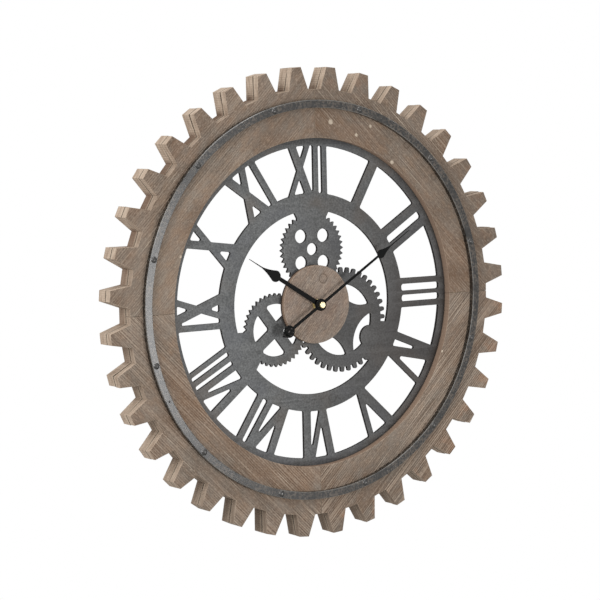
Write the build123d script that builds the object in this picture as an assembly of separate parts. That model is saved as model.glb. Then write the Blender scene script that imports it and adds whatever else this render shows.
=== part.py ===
from build123d import *
import math
import os

# Wooden ring: a toothed back ring with four quarter boards in front of it (millimetres, degrees)
# Its middle, which is the middle of the dial as well, is a little above the hand axis
TIP_RADIUS = 300.0
TOOTH_HEIGHT = 28.0
TOOTH_COUNT = 36
TIP_HALF_ANGLE = 1.3
ROOT_HALF_ANGLE = 3.0
RIM_WIDTH = 62.0
BACK_THICKNESS = 17.0
BOARD_THICKNESS = 11.0
BOARD_COUNT = 4
BOARD_TURN = 360 / BOARD_COUNT
BOARD_JOINT = 0.4
RING_RISE = 1.8
ROOT_RADIUS = TIP_RADIUS - TOOTH_HEIGHT
RING_BORE = ROOT_RADIUS - RIM_WIDTH
BOARD_FRONT = BACK_THICKNESS + BOARD_THICKNESS

# Metal hoop on the boards; it is fixed a little above the middle of the ring
HOOP_INSET = 39.7
HOOP_RISE = 3.4
HOOP_WIDTH = 10.0
HOOP_HEIGHT = 7.0
HOOP_BEVEL = 0.8
HOOP_RADIUS = RING_BORE + HOOP_INSET
HOOP_FRONT = BOARD_FRONT + HOOP_HEIGHT

# Pierced dial, clamped in a rebate between the back ring and the boards
DIAL_THICKNESS = 4.0
DIAL_LIP = 12.0
DIAL_SHOWING = 9.5
REBATE_GAP = 0.2
NUMERAL_HEIGHT = 60.5
INNER_RING_WIDTH = 22.0
DIAL_BACK = BACK_THICKNESS - DIAL_THICKNESS
DIAL_RADIUS = RING_BORE + DIAL_LIP
RIM_BORE = RING_BORE - DIAL_SHOWING
INNER_RING_RADIUS = RIM_BORE - NUMERAL_HEIGHT
INNER_RING_BORE = INNER_RING_RADIUS - INNER_RING_WIDTH
STROKE_OVERRUN = 4.0
CORNER_RADIUS = 1.8
NARROW_AREA = 700.0
NARROW_RADII = (3.4, 2.8, 2.2)
REACHED_SHARE = 0.975
HOUR_TURN = 360 / 12

# Numeral strokes by hour: offset at the foot, offset at the head, width (clockwise offsets are positive)
NUMERAL_STROKES = {
    1: [(-1.6, -2.6, 13.8)],
    2: [(-15.7, -18.5, 12.3), (6.5, 3.8, 12.0)],
    3: [(-19.4, -19.4, 7.8), (-3.8, -3.8, 5.4), (11.4, 11.4, 7.8)],
    4: [(-20.7, -29.5, 10.4), (0.4, -20.0, 12.8), (3.8, 17.1, 7.7)],
    5: [(-2.5, -21.0, 13.2), (0.0, 13.9, 8.0)],
    6: [(-12.0, -25.0, 11.0), (-10.3, 3.7, 6.8), (12.2, 12.0, 11.2)],
    7: [(-27.4, -35.1, 10.6), (-25.7, -5.0, 9.5), (-2.9, 1.6, 8.4), (13.6, 16.8, 9.1)],
    8: [(-29.0, -38.8, 11.0), (-25.6, -10.5, 6.2), (-4.4, -2.9, 8.2), (8.8, 10.2, 6.9), (21.4, 22.1, 6.2)],
    9: [(-20.6, -21.0, 8.0), (12.5, -10.4, 12.0), (-7.4, 11.8, 8.0)],
    10: [(6.1, -19.6, 11.4), (-16.6, 3.6, 8.4)],
    11: [(1.0, -27.9, 12.4), (-22.8, -2.5, 9.2), (16.7, 13.7, 8.5)],
    12: [(-3.6, -28.3, 11.2), (-28.2, -4.6, 7.2), (7.6, 7.4, 7.6), (20.9, 20.6, 7.5)],
}

# Ornamental gears cut from the dial sheet: distance and clock angle from the middle of the dial
ORNAMENT_TEETH = 40
UPPER_GEAR_DISTANCE = 68.4
UPPER_GEAR_ANGLE = 0.0
UPPER_GEAR_TIP = 47.5
UPPER_GEAR_ROOT = 43.6
UPPER_CENTRE_HOLE = 7.8
UPPER_HOLE = 8.7
UPPER_HOLE_COUNT = 4
UPPER_HOLE_RADIUS = 24.0
LEFT_GEAR_DISTANCE = 65.3
LEFT_GEAR_ANGLE = 241.0
LEFT_GEAR_TIP = 47.0
LEFT_GEAR_ROOT = 43.5
LEFT_GEAR_OPENING = 33.5
LEFT_SPOKE_WIDTH = 14.5
LEFT_SPOKE_ANGLE = 38.0
RIGHT_GEAR_DISTANCE = 50.6
RIGHT_GEAR_ANGLE = 119.6
RIGHT_GEAR_TIP = 68.0
RIGHT_GEAR_ROOT = 61.5
RIGHT_TOOTH_ROUND = 2.2
PETAL_COUNT = 4
PETAL_OUTER = 46.0
PETAL_RADIUS = 42.0
PETAL_CENTRE = 68.0
LUG_RADIUS = 15.0
LUG_DISTANCE = 50.5
POINTED_TIP_SHARE = 0.12
POINTED_ROOT_SHARE = 0.86
ROUNDED_TIP_SHARE = 0.46
ROUNDED_ROOT_SHARE = 0.66
BRIDGE_HALF_ANGLE = 29.0
RIGHT_BRIDGE_HALF_ANGLE = 24.0
BRIDGE_OVERLAP = 6.0

# Wooden centre disc and its screws
DISC_RADIUS = 50.0
DISC_THICKNESS = 8.5
DISC_FRONT = BACK_THICKNESS + DISC_THICKNESS
DISC_SCREW_PLACES = [(0.0, 38.0), (-34.0, -0.8), (36.0, -8.0)]

# Screws and pins: shank radius, head radius, head height, length below the head
SCREW_FIT = 0.05
SLOT_WIDTH = 1.0
SLOT_DEPTH_SHARE = 0.4
SLOT_TURN = 77.0
HOOP_SCREW = (1.75, 4.0, 2.2, 14.0)
HOOP_SCREW_COUNT = 12
HOOP_SCREW_START = 15.0
HOOP_PIN = (0.8, 1.5, 0.7, 13.0)
HOOP_PIN_COUNT = 4
HOOP_PIN_START = 64.0
DISC_SCREW = (1.5, 3.0, 1.8, 8.0)
BOARD_SCREW = (2.0, 4.0, 2.4, 24.0)
BOARD_SCREW_INSET = 22.0
BOARD_SCREW_RADIUS = RING_BORE + BOARD_SCREW_INSET
BOARD_SCREW_ANGLES = (10.0, 45.0, 80.0)
HANGER_SCREW = (1.5, 2.9, 1.5, 9.0)

# Hanger plate with a keyhole, in a pocket at the top of the back ring
HANGER_HEIGHT = RING_BORE + RIM_WIDTH / 2
HANGER_LENGTH = 44.0
HANGER_WIDTH = 22.0
HANGER_THICKNESS = 1.5
HANGER_HOLE = 4.0
HANGER_SLOT = 2.1
HANGER_SLOT_RISE = 6.0
HANGER_SCREW_SPREAD = 15.0
HANGER_POCKET_GAP = 0.2
NAIL_POCKET_RADIUS = 8.0
NAIL_POCKET_DEPTH = 11.0

# Movement case: the sizes across it and inside it follow from its width
CASE_WIDTH = 56.0
MODULE_UNIT = CASE_WIDTH / 140
GASKET_THICKNESS = 0.5
GASKET_MARGIN = 8.0
CASE_BACK = 0.8
BACK_PLATE = 1.2
FRONT_PLATE = 1.0
SIDE_WALL = 1.2
WINDOW_GAP = 1.0
WINDOW_CORNER = 3.0
PARTITION = 1.0
PARTITION_GAP = 1.14
CASE_FRONT = BACK_THICKNESS - GASKET_THICKNESS
INNER_FRONT = CASE_FRONT - FRONT_PLATE
INNER_BACK = CASE_BACK + BACK_PLATE
CASE_HALF = CASE_WIDTH / 2
INNER_HALF = CASE_HALF - SIDE_WALL
GASKET_SIZE = CASE_WIDTH - 2 * GASKET_MARGIN

# Hand shafts: fits are radial gaps
RUNNING_FIT = 0.06
BUSH_RADIUS = 4.5
BUSH_LENGTH = 13.5
TUBE_RADIUS = 2.6
ARBOR_RADIUS = 1.75
SPINDLE_RADIUS = 0.9
PIVOT_RADIUS = 0.6
PIVOT_DEPTH = 0.7
END_PLAY = 0.1
BUSH_FRONT = CASE_FRONT + BUSH_LENGTH
WASHER_RADIUS = 6.8
WASHER_THICKNESS = 1.0
NUT_FLATS = 11.0
NUT_HEIGHT = 2.8
WASHER_FRONT = DISC_FRONT + WASHER_THICKNESS

# Hands
HAND_THICKNESS = 0.9
HOUR_HAND_LIFT = 1.7
HOUR_COLLAR_RADIUS = 4.0
HOUR_COLLAR_HEIGHT = 1.2
HOUR_HUB_RADIUS = 5.5
HOUR_TUBE_PROUD = 0.3
HOUR_HAND_ANGLE = 301.3
HAND_SPACING = 1.6
HOUR_HAND_BACK = BUSH_FRONT + HOUR_HAND_LIFT
HOUR_TUBE_FRONT = HOUR_HAND_BACK + HAND_THICKNESS + HOUR_TUBE_PROUD
MINUTE_HAND_BACK = HOUR_TUBE_FRONT + HAND_SPACING
MINUTE_HUB_RADIUS = 7.75
MINUTE_HUB_BELOW = 0.6
MINUTE_HUB_ABOVE = 1.1
MINUTE_HUB_BEVEL = 0.6
MINUTE_HAND_ANGLE = 57.6
MINUTE_HUB_FRONT = MINUTE_HAND_BACK + HAND_THICKNESS + MINUTE_HUB_ABOVE
HAND_NUT_RADIUS = 4.0
HAND_NUT_HEIGHT = 3.4
HAND_NUT_BEVEL = 0.7
THREAD_RADIUS = 1.5
THREAD_LENGTH = 2.4
WEIGHT_RADIUS = 8.0
WEIGHT_DISTANCE = 57.7
WEIGHT_POINT = 12.0
WEIGHT_BOSS_RADIUS = 6.4
WEIGHT_BOSS_HEIGHT = 2.0
WEIGHT_BOSS_BEVEL = 1.4
TIP_END_WIDTH = 0.6
HOUR_BLADE = {"arm": 6.4, "neck": 5.0, "head": 7.3, "centre": 77.0, "waist": (2.9, 90.0),
              "point": (0.7, 100.0), "end": 122.0}
MINUTE_BLADE = {"arm": 3.8, "neck": 3.0, "head": 5.7, "centre": 112.0, "waist": (2.1, 123.0),
                "point": (0.6, 131.0), "end": 166.0}
BLADE_SHOULDER = 0.48

# Movement wheels: tooth counts and modules
CENTRE_TEETH = 48
THIRD_TEETH = 45
SECONDS_TEETH = 36
FIFTH_TEETH = 30
LEAF_TEETH = 6
CENTRE_MODULE = 1.05 * MODULE_UNIT
THIRD_MODULE = 0.95 * MODULE_UNIT
SECONDS_MODULE = MODULE_UNIT
FIFTH_MODULE = MODULE_UNIT
CANNON_TEETH = 12
MOTION_TEETH = 36
MOTION_PINION_TEETH = 10
HOUR_TEETH = 40
SETTING_TEETH = 18
MOTION_MODULE = 1.25 * MODULE_UNIT
MOTION_DISTANCE = MOTION_MODULE * (CANNON_TEETH + MOTION_TEETH) / 2
HOUR_MODULE = 2 * MOTION_DISTANCE / (MOTION_PINION_TEETH + HOUR_TEETH)
SETTING_DISTANCE = MOTION_MODULE * (MOTION_TEETH + SETTING_TEETH) / 2

# Tooth form in modules: addendum, dedendum, half width at the tip, half width at the root
WHEEL_FORM = (0.9, 1.35, 0.30, 0.75)
LEAF_FORM = (0.75, 1.25, 0.22, 0.62)
CENTRE_TIP = CENTRE_MODULE * (CENTRE_TEETH / 2 + WHEEL_FORM[0])

# Directions from one wheel to the next, counted anticlockwise from 3 o'clock
THIRD_DIRECTION = 150.0
SECONDS_DIRECTION = 75.0
FIFTH_DIRECTION = 0.0
ROTOR_DIRECTION = -10.0
MOTION_DIRECTION = 10.0
SETTING_DIRECTION = 60.0

# Levels of the wheels: back face and thickness, counted from the front of the case
WHEEL_THICKNESS = 0.8
HOUR_WHEEL_BACK = INNER_FRONT - 1.6
HOUR_WHEEL_THICKNESS = 1.3
MOTION_WHEEL_BACK = INNER_FRONT - 4.3
MOTION_WHEEL_THICKNESS = 1.0
CANNON_BACK = MOTION_WHEEL_BACK - 0.3
CANNON_THICKNESS = 1.7
SETTING_THICKNESS = 1.4
CENTRE_WHEEL_BACK = INNER_FRONT - 6.5
CENTRE_COLLAR = 0.7
CENTRE_COLLAR_RADIUS = 2.4
THIRD_WHEEL_BACK = INNER_FRONT - 8.3
THIRD_PINION_FRONT = CENTRE_WHEEL_BACK + 1.2
SECONDS_WHEEL_BACK = INNER_FRONT - 10.5
SECONDS_PINION_FRONT = THIRD_WHEEL_BACK + 1.2
FIFTH_WHEEL_BACK = INNER_FRONT - 12.3
FIFTH_PINION_FRONT = SECONDS_WHEEL_BACK + 1.2
ROTOR_PINION_BACK = FIFTH_WHEEL_BACK - 0.3
ROTOR_PINION_THICKNESS = 1.5
MAGNET_RADIUS = 6.5 * MODULE_UNIT
MAGNET_HEIGHT = 2.6
MAGNET_BACK = ROTOR_PINION_BACK + ROTOR_PINION_THICKNESS + 0.4

# Setting knob at the back
KNOB_RADIUS = 15 * MODULE_UNIT
KNOB_BACK = 0.4
KNOB_THICKNESS = 1.8
KNOB_SHAFT_RADIUS = 1.2
KNOB_GAP = 0.4
KNOB_GROOVES = 12
KNOB_GROOVE_RADIUS = 0.5

# Stator, coil and electronics
STATOR_THICKNESS = 1.0
STATOR_BACK = MAGNET_BACK + 0.8
STATOR_GAP = 0.4
ROTOR_GAP = 0.5
STATOR_HOLE = MAGNET_RADIUS + ROTOR_GAP
STATOR_EYE = 12 * MODULE_UNIT
STATOR_ARM = 5 * MODULE_UNIT
STATOR_RIGHT = INNER_HALF - STATOR_GAP
CORE_HEIGHT = 56.25 * MODULE_UNIT
LOWER_ARM = 44 * MODULE_UNIT
COIL_RADIUS = 8 * MODULE_UNIT
COIL_FLANGE = 2 * MODULE_UNIT
COIL_FLANGE_RADIUS = 8.75 * MODULE_UNIT
COIL_GAP = 0.2
COIL_LEFT_GAP = 1.0
COIL_END = STATOR_RIGHT - STATOR_ARM - COIL_GAP
CASE_TOP = CORE_HEIGHT + COIL_FLANGE_RADIUS + COIL_GAP + SIDE_WALL
CORE_FIT = 0.1
POST_RADIUS = 1.2
BOARD_SIZE = (25 * MODULE_UNIT, 40 * MODULE_UNIT)
BOARD_SIDE_GAP = 0.3
BOARD_TOP_GAP = 1.2
BOARD_X = BOARD_SIDE_GAP + BOARD_SIZE[0] / 2 - INNER_HALF
BOARD_Y = CASE_TOP - SIDE_WALL - BOARD_TOP_GAP - BOARD_SIZE[1] / 2
BOARD_DEPTH = 1.0
BOARD_BACK = INNER_FRONT - 6.5
CHIP_SIZE = (4.0, 4.0, 0.9)
CHIP_SHIFT = 5.0
CRYSTAL_RADIUS = 1.0
CRYSTAL_LENGTH = 6.0
CRYSTAL_SHIFT = 2.0

# Battery cell and its contacts
CELL_RADIUS = 7.2
CELL_TIP_RADIUS = 2.7
CELL_TIP_LENGTH = 1.5
CELL_GAP = 0.2
MINUS_REACH = 1.6
PLUS_REACH = 1.3
CELL_BODY_LEFT = MINUS_REACH - INNER_HALF
CELL_TIP = INNER_HALF - PLUS_REACH
CELL_BODY_RIGHT = CELL_TIP - CELL_TIP_LENGTH
PARTITION_TOP = -CENTRE_TIP - PARTITION_GAP
CELL_HEIGHT = PARTITION_TOP - PARTITION - CELL_GAP - CELL_RADIUS
CASE_BOTTOM = CELL_HEIGHT - CELL_RADIUS - CELL_GAP - SIDE_WALL
CONTACT_THICKNESS = 0.4
CONTACT_SIZE = (9.0, 11.0)
CONTACT_BOSS_RADIUS = 3.0

# Place of the finished clock: origin at the hanger hole on the wall plane, front towards -Y, top towards +Z
FRAME = Plane(origin=(0, 0, -HANGER_HEIGHT - RING_RISE), x_dir=(1, 0, 0), z_dir=(0, -1, 0))


def clock_point(radius, angle):
    """Point at a radius and a clockwise angle from 12 o'clock."""
    turn = math.radians(angle)
    return (radius * math.sin(turn), radius * math.cos(turn))


def beside(place, distance, direction):
    """Point at a distance and an anticlockwise direction from another point."""
    turn = math.radians(direction)
    return (place[0] + distance * math.cos(turn), place[1] + distance * math.sin(turn))


def outline(points):
    """Flat face inside a closed run of straight lines."""
    return make_face(Polyline(*points, close=True))


def rod(radius, back, front, place=(0.0, 0.0)):
    """Round rod along the hand axis between two levels."""
    return Pos(place[0], place[1], (back + front) / 2) * Cylinder(radius, front - back)


def slab(face, back, thickness):
    """Flat face raised to a thickness, starting at a level."""
    return Pos(0, 0, back) * extrude(face, thickness)


def block(left, right, low, high, back, front):
    """Box between three pairs of limits."""
    size = Box(right - left, high - low, front - back)
    return Pos((left + right) / 2, (low + high) / 2, (back + front) / 2) * size


def group(solids):
    """Several equal solids kept in one node."""
    return Compound(children=[Part(solid.wrapped) for solid in solids])


# Screws


def pin(form):
    """Round-head pin that points down from the level of its seat."""
    shank, head, height, length = form
    radius = (head ** 2 + height ** 2) / (2 * height)
    foot = math.degrees(math.asin(1 - height / radius))
    cap = Sphere(radius, foot, 90, align=(Align.CENTER, Align.CENTER, Align.MIN))
    return cap + rod(shank, -length, 0)


def slotted(form, turn):
    """Pin with a screwdriver slot at an angle."""
    head, height = form[1:3]
    slot = Box(2 * head, SLOT_WIDTH, 2 * height * SLOT_DEPTH_SHARE)
    return pin(form) - Pos(0, 0, height) * Rot(0, 0, turn) * slot


def screws_behind(form, places, seat):
    """Slotted screws put in from behind with their heads on a level, each stopped at its own angle."""
    turned = Rot(180, 0, 0)
    return [Pos(*place, seat) * turned * slotted(form, SLOT_TURN * i) for i, place in enumerate(places)]


def flat_screw(form, place, seat):
    """Countersunk screw put in from behind, its head level with the seat."""
    shank, head, height, length = form
    cone = Pos(place[0], place[1], seat + height / 2) * Cone(head, shank, height)
    return cone + rod(shank, seat, seat + length, place)


def screw_hole(form, place, back, front):
    """Hole for a screw shank between two levels."""
    return rod(form[0] + SCREW_FIT, back, front, place)


def round_the_hoop(start, count):
    """Evenly spaced places on the middle line of the hoop."""
    places = [clock_point(HOOP_RADIUS, start + 360 / count * i) for i in range(count)]
    return [(x, y + HOOP_RISE) for x, y in places]


def hoop_screw_places():
    return round_the_hoop(HOOP_SCREW_START, HOOP_SCREW_COUNT)


def hoop_pin_places():
    return round_the_hoop(HOOP_PIN_START, HOOP_PIN_COUNT)


def board_screw_places():
    angles = [BOARD_TURN * i + angle for i in range(BOARD_COUNT) for angle in BOARD_SCREW_ANGLES]
    return [clock_point(BOARD_SCREW_RADIUS, angle) for angle in angles]


def hanger_screw_places():
    return [(side * HANGER_SCREW_SPREAD, HANGER_HEIGHT) for side in (-1, 1)]


def hoop_screws():
    return group([Pos(*place, HOOP_FRONT) * pin(HOOP_SCREW) for place in hoop_screw_places()])


def hoop_pins():
    return group([Pos(*place, HOOP_FRONT) * pin(HOOP_PIN) for place in hoop_pin_places()])


def board_screws():
    return group([flat_screw(BOARD_SCREW, place, 0) for place in board_screw_places()])


def disc_screws():
    return group(screws_behind(DISC_SCREW, DISC_SCREW_PLACES, DIAL_BACK))


def hanger_screws():
    return group([flat_screw(HANGER_SCREW, place, 0) for place in hanger_screw_places()])


# Wooden ring


def toothed_ring():
    """Front view of the whole wooden ring."""
    pitch = 360 / TOOTH_COUNT
    points = []
    for i in range(TOOTH_COUNT):
        middle = pitch * (i + 0.5)
        points.append(clock_point(ROOT_RADIUS, middle - ROOT_HALF_ANGLE))
        points.append(clock_point(TIP_RADIUS, middle - TIP_HALF_ANGLE))
        points.append(clock_point(TIP_RADIUS, middle + TIP_HALF_ANGLE))
        points.append(clock_point(ROOT_RADIUS, middle + ROOT_HALF_ANGLE))
    return outline(points) - Circle(RING_BORE)


def front_board(quarter):
    """One quarter of the front, counted clockwise from the upper right one."""
    reach = TIP_RADIUS + BOARD_JOINT
    corner = Pos((reach + BOARD_JOINT) / 2, (reach + BOARD_JOINT) / 2) * Rectangle(reach, reach)
    turned = Rot(0, 0, -BOARD_TURN * quarter) * corner
    board = slab(toothed_ring() & turned, BACK_THICKNESS, BOARD_THICKNESS)
    for place in hoop_screw_places():
        board -= screw_hole(HOOP_SCREW, place, HOOP_FRONT - HOOP_SCREW[3], BOARD_FRONT)
    for place in hoop_pin_places():
        board -= screw_hole(HOOP_PIN, place, HOOP_FRONT - HOOP_PIN[3], BOARD_FRONT)
    for place in board_screw_places():
        board -= screw_hole(BOARD_SCREW, place, BACK_THICKNESS, BOARD_SCREW[3])
    return board


def upright_slot(radius, depth):
    """Round-ended slot that rises from the hanger hole, open at the wall plane."""
    place = (0.0, HANGER_HEIGHT)
    top = (0.0, HANGER_HEIGHT + HANGER_SLOT_RISE)
    middle = block(-radius, radius, place[1], top[1], 0, depth)
    return [rod(radius, 0, depth, place), middle, rod(radius, 0, depth, top)]


def back_ring():
    ring = slab(toothed_ring(), 0, BACK_THICKNESS)
    ring -= rod(DIAL_RADIUS + REBATE_GAP, DIAL_BACK, BACK_THICKNESS)
    shank, head, height, length = BOARD_SCREW
    for place in board_screw_places():
        ring -= screw_hole(BOARD_SCREW, place, 0, BACK_THICKNESS)
        sink = Cone(head + SCREW_FIT, shank + SCREW_FIT, height)
        ring -= Pos(place[0], place[1], height / 2) * sink
    gap = HANGER_POCKET_GAP
    half_length = HANGER_LENGTH / 2 + gap
    half_width = HANGER_WIDTH / 2 + gap
    low = HANGER_HEIGHT - half_width
    ring -= block(-half_length, half_length, low, HANGER_HEIGHT + half_width, 0, HANGER_THICKNESS)
    ring -= upright_slot(NAIL_POCKET_RADIUS, NAIL_POCKET_DEPTH)
    for place in hanger_screw_places():
        ring -= screw_hole(HANGER_SCREW, place, 0, HANGER_SCREW[3])
    return ring


def hanger_plate():
    low = HANGER_HEIGHT - HANGER_WIDTH / 2
    plate = block(-HANGER_LENGTH / 2, HANGER_LENGTH / 2, low, low + HANGER_WIDTH, 0, HANGER_THICKNESS)
    plate -= rod(HANGER_HOLE, 0, HANGER_THICKNESS, (0.0, HANGER_HEIGHT))
    plate -= upright_slot(HANGER_SLOT, HANGER_THICKNESS)
    shank, head, height, length = HANGER_SCREW
    for place in hanger_screw_places():
        sink = Cone(head + SCREW_FIT, shank + SCREW_FIT, height)
        plate -= Pos(place[0], place[1], height / 2) * sink
    return plate


def hoop():
    outer = HOOP_RADIUS + HOOP_WIDTH / 2
    centre = (0.0, HOOP_RISE)
    band = rod(outer, BOARD_FRONT, HOOP_FRONT, centre)
    band -= rod(outer - HOOP_WIDTH, BOARD_FRONT, HOOP_FRONT, centre)
    band = chamfer(band.edges().group_by(Axis.Z)[-1], HOOP_BEVEL)
    for place in hoop_screw_places():
        band -= screw_hole(HOOP_SCREW, place, BOARD_FRONT, HOOP_FRONT)
    for place in hoop_pin_places():
        band -= screw_hole(HOOP_PIN, place, BOARD_FRONT, HOOP_FRONT)
    return band


# Dial


def numeral_stroke(hour, foot, head, width):
    """One straight stroke of a numeral, running a little into both rings."""
    lean = (head - foot) / NUMERAL_HEIGHT * STROKE_OVERRUN
    low = INNER_RING_RADIUS - STROKE_OVERRUN
    high = RIM_BORE + STROKE_OVERRUN
    half = width / 2
    points = [(foot - lean - half, low), (foot - lean + half, low), (head + lean + half, high),
              (head + lean - half, high)]
    return Rot(0, 0, -HOUR_TURN * hour) * outline(points)


def cut_round(face, radius):
    """Hole as a round cutter of a radius leaves it."""
    return offset(offset(face, -radius), radius).face()


def rounded_hole(face):
    """Hole with rounded corners; a narrow one takes the largest radius that reaches nearly all of it."""
    if face.area > NARROW_AREA:
        return cut_round(face, CORNER_RADIUS)
    for radius in NARROW_RADII:
        try:
            hole = cut_round(face, radius)
        except RuntimeError:
            continue
        if hole.area > REACHED_SHARE * face.area:
            return hole
    return cut_round(face, CORNER_RADIUS)


def numeral_holes():
    """The openings left between the numeral strokes."""
    openings = Circle(RIM_BORE) - Circle(INNER_RING_RADIUS)
    strokes = [numeral_stroke(hour, *form) for hour, forms in NUMERAL_STROKES.items() for form in forms]
    openings -= strokes
    return [rounded_hole(face) for face in openings.faces()]


def toothed_disc(tip, root, tip_share, root_share):
    """Ornamental gear outline about its own centre; the shares are tooth widths as parts of the pitch."""
    pitch = 360 / ORNAMENT_TEETH
    points = []
    for i in range(ORNAMENT_TEETH):
        middle = pitch * i
        points.append(clock_point(root, middle - pitch * root_share / 2))
        points.append(clock_point(tip, middle - pitch * tip_share / 2))
        points.append(clock_point(tip, middle + pitch * tip_share / 2))
        points.append(clock_point(root, middle + pitch * root_share / 2))
    return outline(points)


def bridge(distance, half_angle):
    """Web from the centre of an ornamental gear, at a distance from the middle, up into the inner ring."""
    reach = (INNER_RING_BORE - distance + BRIDGE_OVERLAP) / math.cos(math.radians(half_angle))
    points = [(0.0, 0.0), clock_point(reach, -half_angle), clock_point(reach, half_angle)]
    return outline(points)


def upper_gear():
    """Gear with five round holes."""
    gear = toothed_disc(UPPER_GEAR_TIP, UPPER_GEAR_ROOT, POINTED_TIP_SHARE, POINTED_ROOT_SHARE)
    gear += bridge(UPPER_GEAR_DISTANCE, BRIDGE_HALF_ANGLE)
    gear -= Circle(UPPER_CENTRE_HOLE)
    for i in range(UPPER_HOLE_COUNT):
        place = clock_point(UPPER_HOLE_RADIUS, 360 / UPPER_HOLE_COUNT * (i + 0.5))
        gear -= Pos(*place) * Circle(UPPER_HOLE)
    return Pos(*clock_point(UPPER_GEAR_DISTANCE, UPPER_GEAR_ANGLE)) * gear


def left_gear():
    """Gear with four crossed spokes."""
    gear = toothed_disc(LEFT_GEAR_TIP, LEFT_GEAR_ROOT, POINTED_TIP_SHARE, POINTED_ROOT_SHARE)
    gear += Rot(0, 0, -LEFT_GEAR_ANGLE) * bridge(LEFT_GEAR_DISTANCE, BRIDGE_HALF_ANGLE)
    spoke = Rectangle(2 * LEFT_GEAR_TIP, LEFT_SPOKE_WIDTH)
    openings = Circle(LEFT_GEAR_OPENING)
    openings -= Rot(0, 0, LEFT_SPOKE_ANGLE) * spoke
    openings -= Rot(0, 0, LEFT_SPOKE_ANGLE + 90) * spoke
    for face in openings.faces():
        gear -= rounded_hole(face)
    return Pos(*clock_point(LEFT_GEAR_DISTANCE, LEFT_GEAR_ANGLE)) * gear


def right_gear():
    """Gear with rounded teeth, four petal holes and a lug towards the ring."""
    gear = toothed_disc(RIGHT_GEAR_TIP, RIGHT_GEAR_ROOT, ROUNDED_TIP_SHARE, ROUNDED_ROOT_SHARE)
    middle = (RIGHT_GEAR_TIP + RIGHT_GEAR_ROOT) / 2
    corners = [corner for corner in gear.vertices() if math.hypot(corner.X, corner.Y) > middle]
    gear = gear.face().fillet_2d(RIGHT_TOOTH_ROUND, corners)
    web = bridge(RIGHT_GEAR_DISTANCE, RIGHT_BRIDGE_HALF_ANGLE)
    gear = Sketch() + gear + Rot(0, 0, -RIGHT_GEAR_ANGLE) * web
    for i in range(PETAL_COUNT):
        centre = Pos(*clock_point(PETAL_CENTRE, 360 / PETAL_COUNT * i + RIGHT_GEAR_ANGLE))
        petal = Circle(PETAL_OUTER) & (centre * Circle(PETAL_RADIUS))
        gear -= cut_round(petal.face(), CORNER_RADIUS)
    gear += Pos(*clock_point(LUG_DISTANCE, RIGHT_GEAR_ANGLE)) * Circle(LUG_RADIUS)
    return Pos(*clock_point(RIGHT_GEAR_DISTANCE, RIGHT_GEAR_ANGLE)) * gear


def movement_window():
    """Opening for the movement, hidden behind the centre disc."""
    width = CASE_WIDTH + 2 * WINDOW_GAP
    height = CASE_TOP - CASE_BOTTOM + 2 * WINDOW_GAP
    return Pos(0, (CASE_TOP + CASE_BOTTOM) / 2) * RectangleRounded(width, height, WINDOW_CORNER)


def dial():
    ring = Circle(DIAL_RADIUS) - Circle(INNER_RING_BORE)
    for hole in numeral_holes():
        ring -= hole
    gears = (upper_gear() + left_gear() + right_gear()) & Circle(INNER_RING_BORE + BRIDGE_OVERLAP / 2)
    sheet = Pos(0, RING_RISE) * (ring + gears) - movement_window()
    plate = slab(sheet, DIAL_BACK, DIAL_THICKNESS)
    for place in DISC_SCREW_PLACES:
        plate -= screw_hole(DISC_SCREW, place, DIAL_BACK, BACK_THICKNESS)
    return plate


def centre_disc():
    disc = rod(DISC_RADIUS, BACK_THICKNESS, DISC_FRONT)
    disc -= rod(BUSH_RADIUS + RUNNING_FIT, BACK_THICKNESS, DISC_FRONT)
    for place in DISC_SCREW_PLACES:
        disc -= screw_hole(DISC_SCREW, place, BACK_THICKNESS, DIAL_BACK + DISC_SCREW[3])
    return disc


# Hands


def tapered(low_half, low, high_half, high):
    """Upright strip with a half width at each end."""
    return outline([(-low_half, low), (low_half, low), (high_half, high), (-high_half, high)])


def blade(form):
    """Arm, spade and long tip of a hand that points to 12."""
    centre, head = form["centre"], form["head"]
    arm = tapered(form["arm"] / 2, 0, form["neck"] / 2, centre)
    tip = tapered(*form["point"], TIP_END_WIDTH / 2, form["end"])
    shoulder = (head * math.sqrt(1 - BLADE_SHOULDER ** 2), centre + head * BLADE_SHOULDER)
    edge = ThreePointArc(shoulder, form["waist"], form["point"])
    closing = Polyline(form["point"], (0, form["point"][1]), (0, shoulder[1]), shoulder)
    half_spade = make_face([edge, closing])
    spade = half_spade + mirror(half_spade, Plane.YZ)
    return arm + Pos(0, centre) * Circle(head) + spade + tip


def hour_hand():
    face = blade(HOUR_BLADE) + Circle(HOUR_HUB_RADIUS)
    hand = slab(face, HOUR_HAND_BACK, HAND_THICKNESS)
    hand += rod(HOUR_COLLAR_RADIUS, HOUR_HAND_BACK - HOUR_COLLAR_HEIGHT, HOUR_HAND_BACK)
    hand -= rod(TUBE_RADIUS, HOUR_HAND_BACK - HOUR_COLLAR_HEIGHT, HOUR_TUBE_FRONT)
    return Rot(0, 0, -HOUR_HAND_ANGLE) * hand


def counterweight():
    """Drop-shaped outline at the tail end of the minute hand, with its point outwards."""
    touch = math.degrees(math.acos(WEIGHT_RADIUS / WEIGHT_POINT))
    x, y = clock_point(WEIGHT_RADIUS, touch)
    point = outline([(-x, -y), (0.0, -WEIGHT_POINT), (x, -y), (0.0, 0.0)])
    return Pos(0, -WEIGHT_DISTANCE) * (Circle(WEIGHT_RADIUS) + point)


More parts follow.
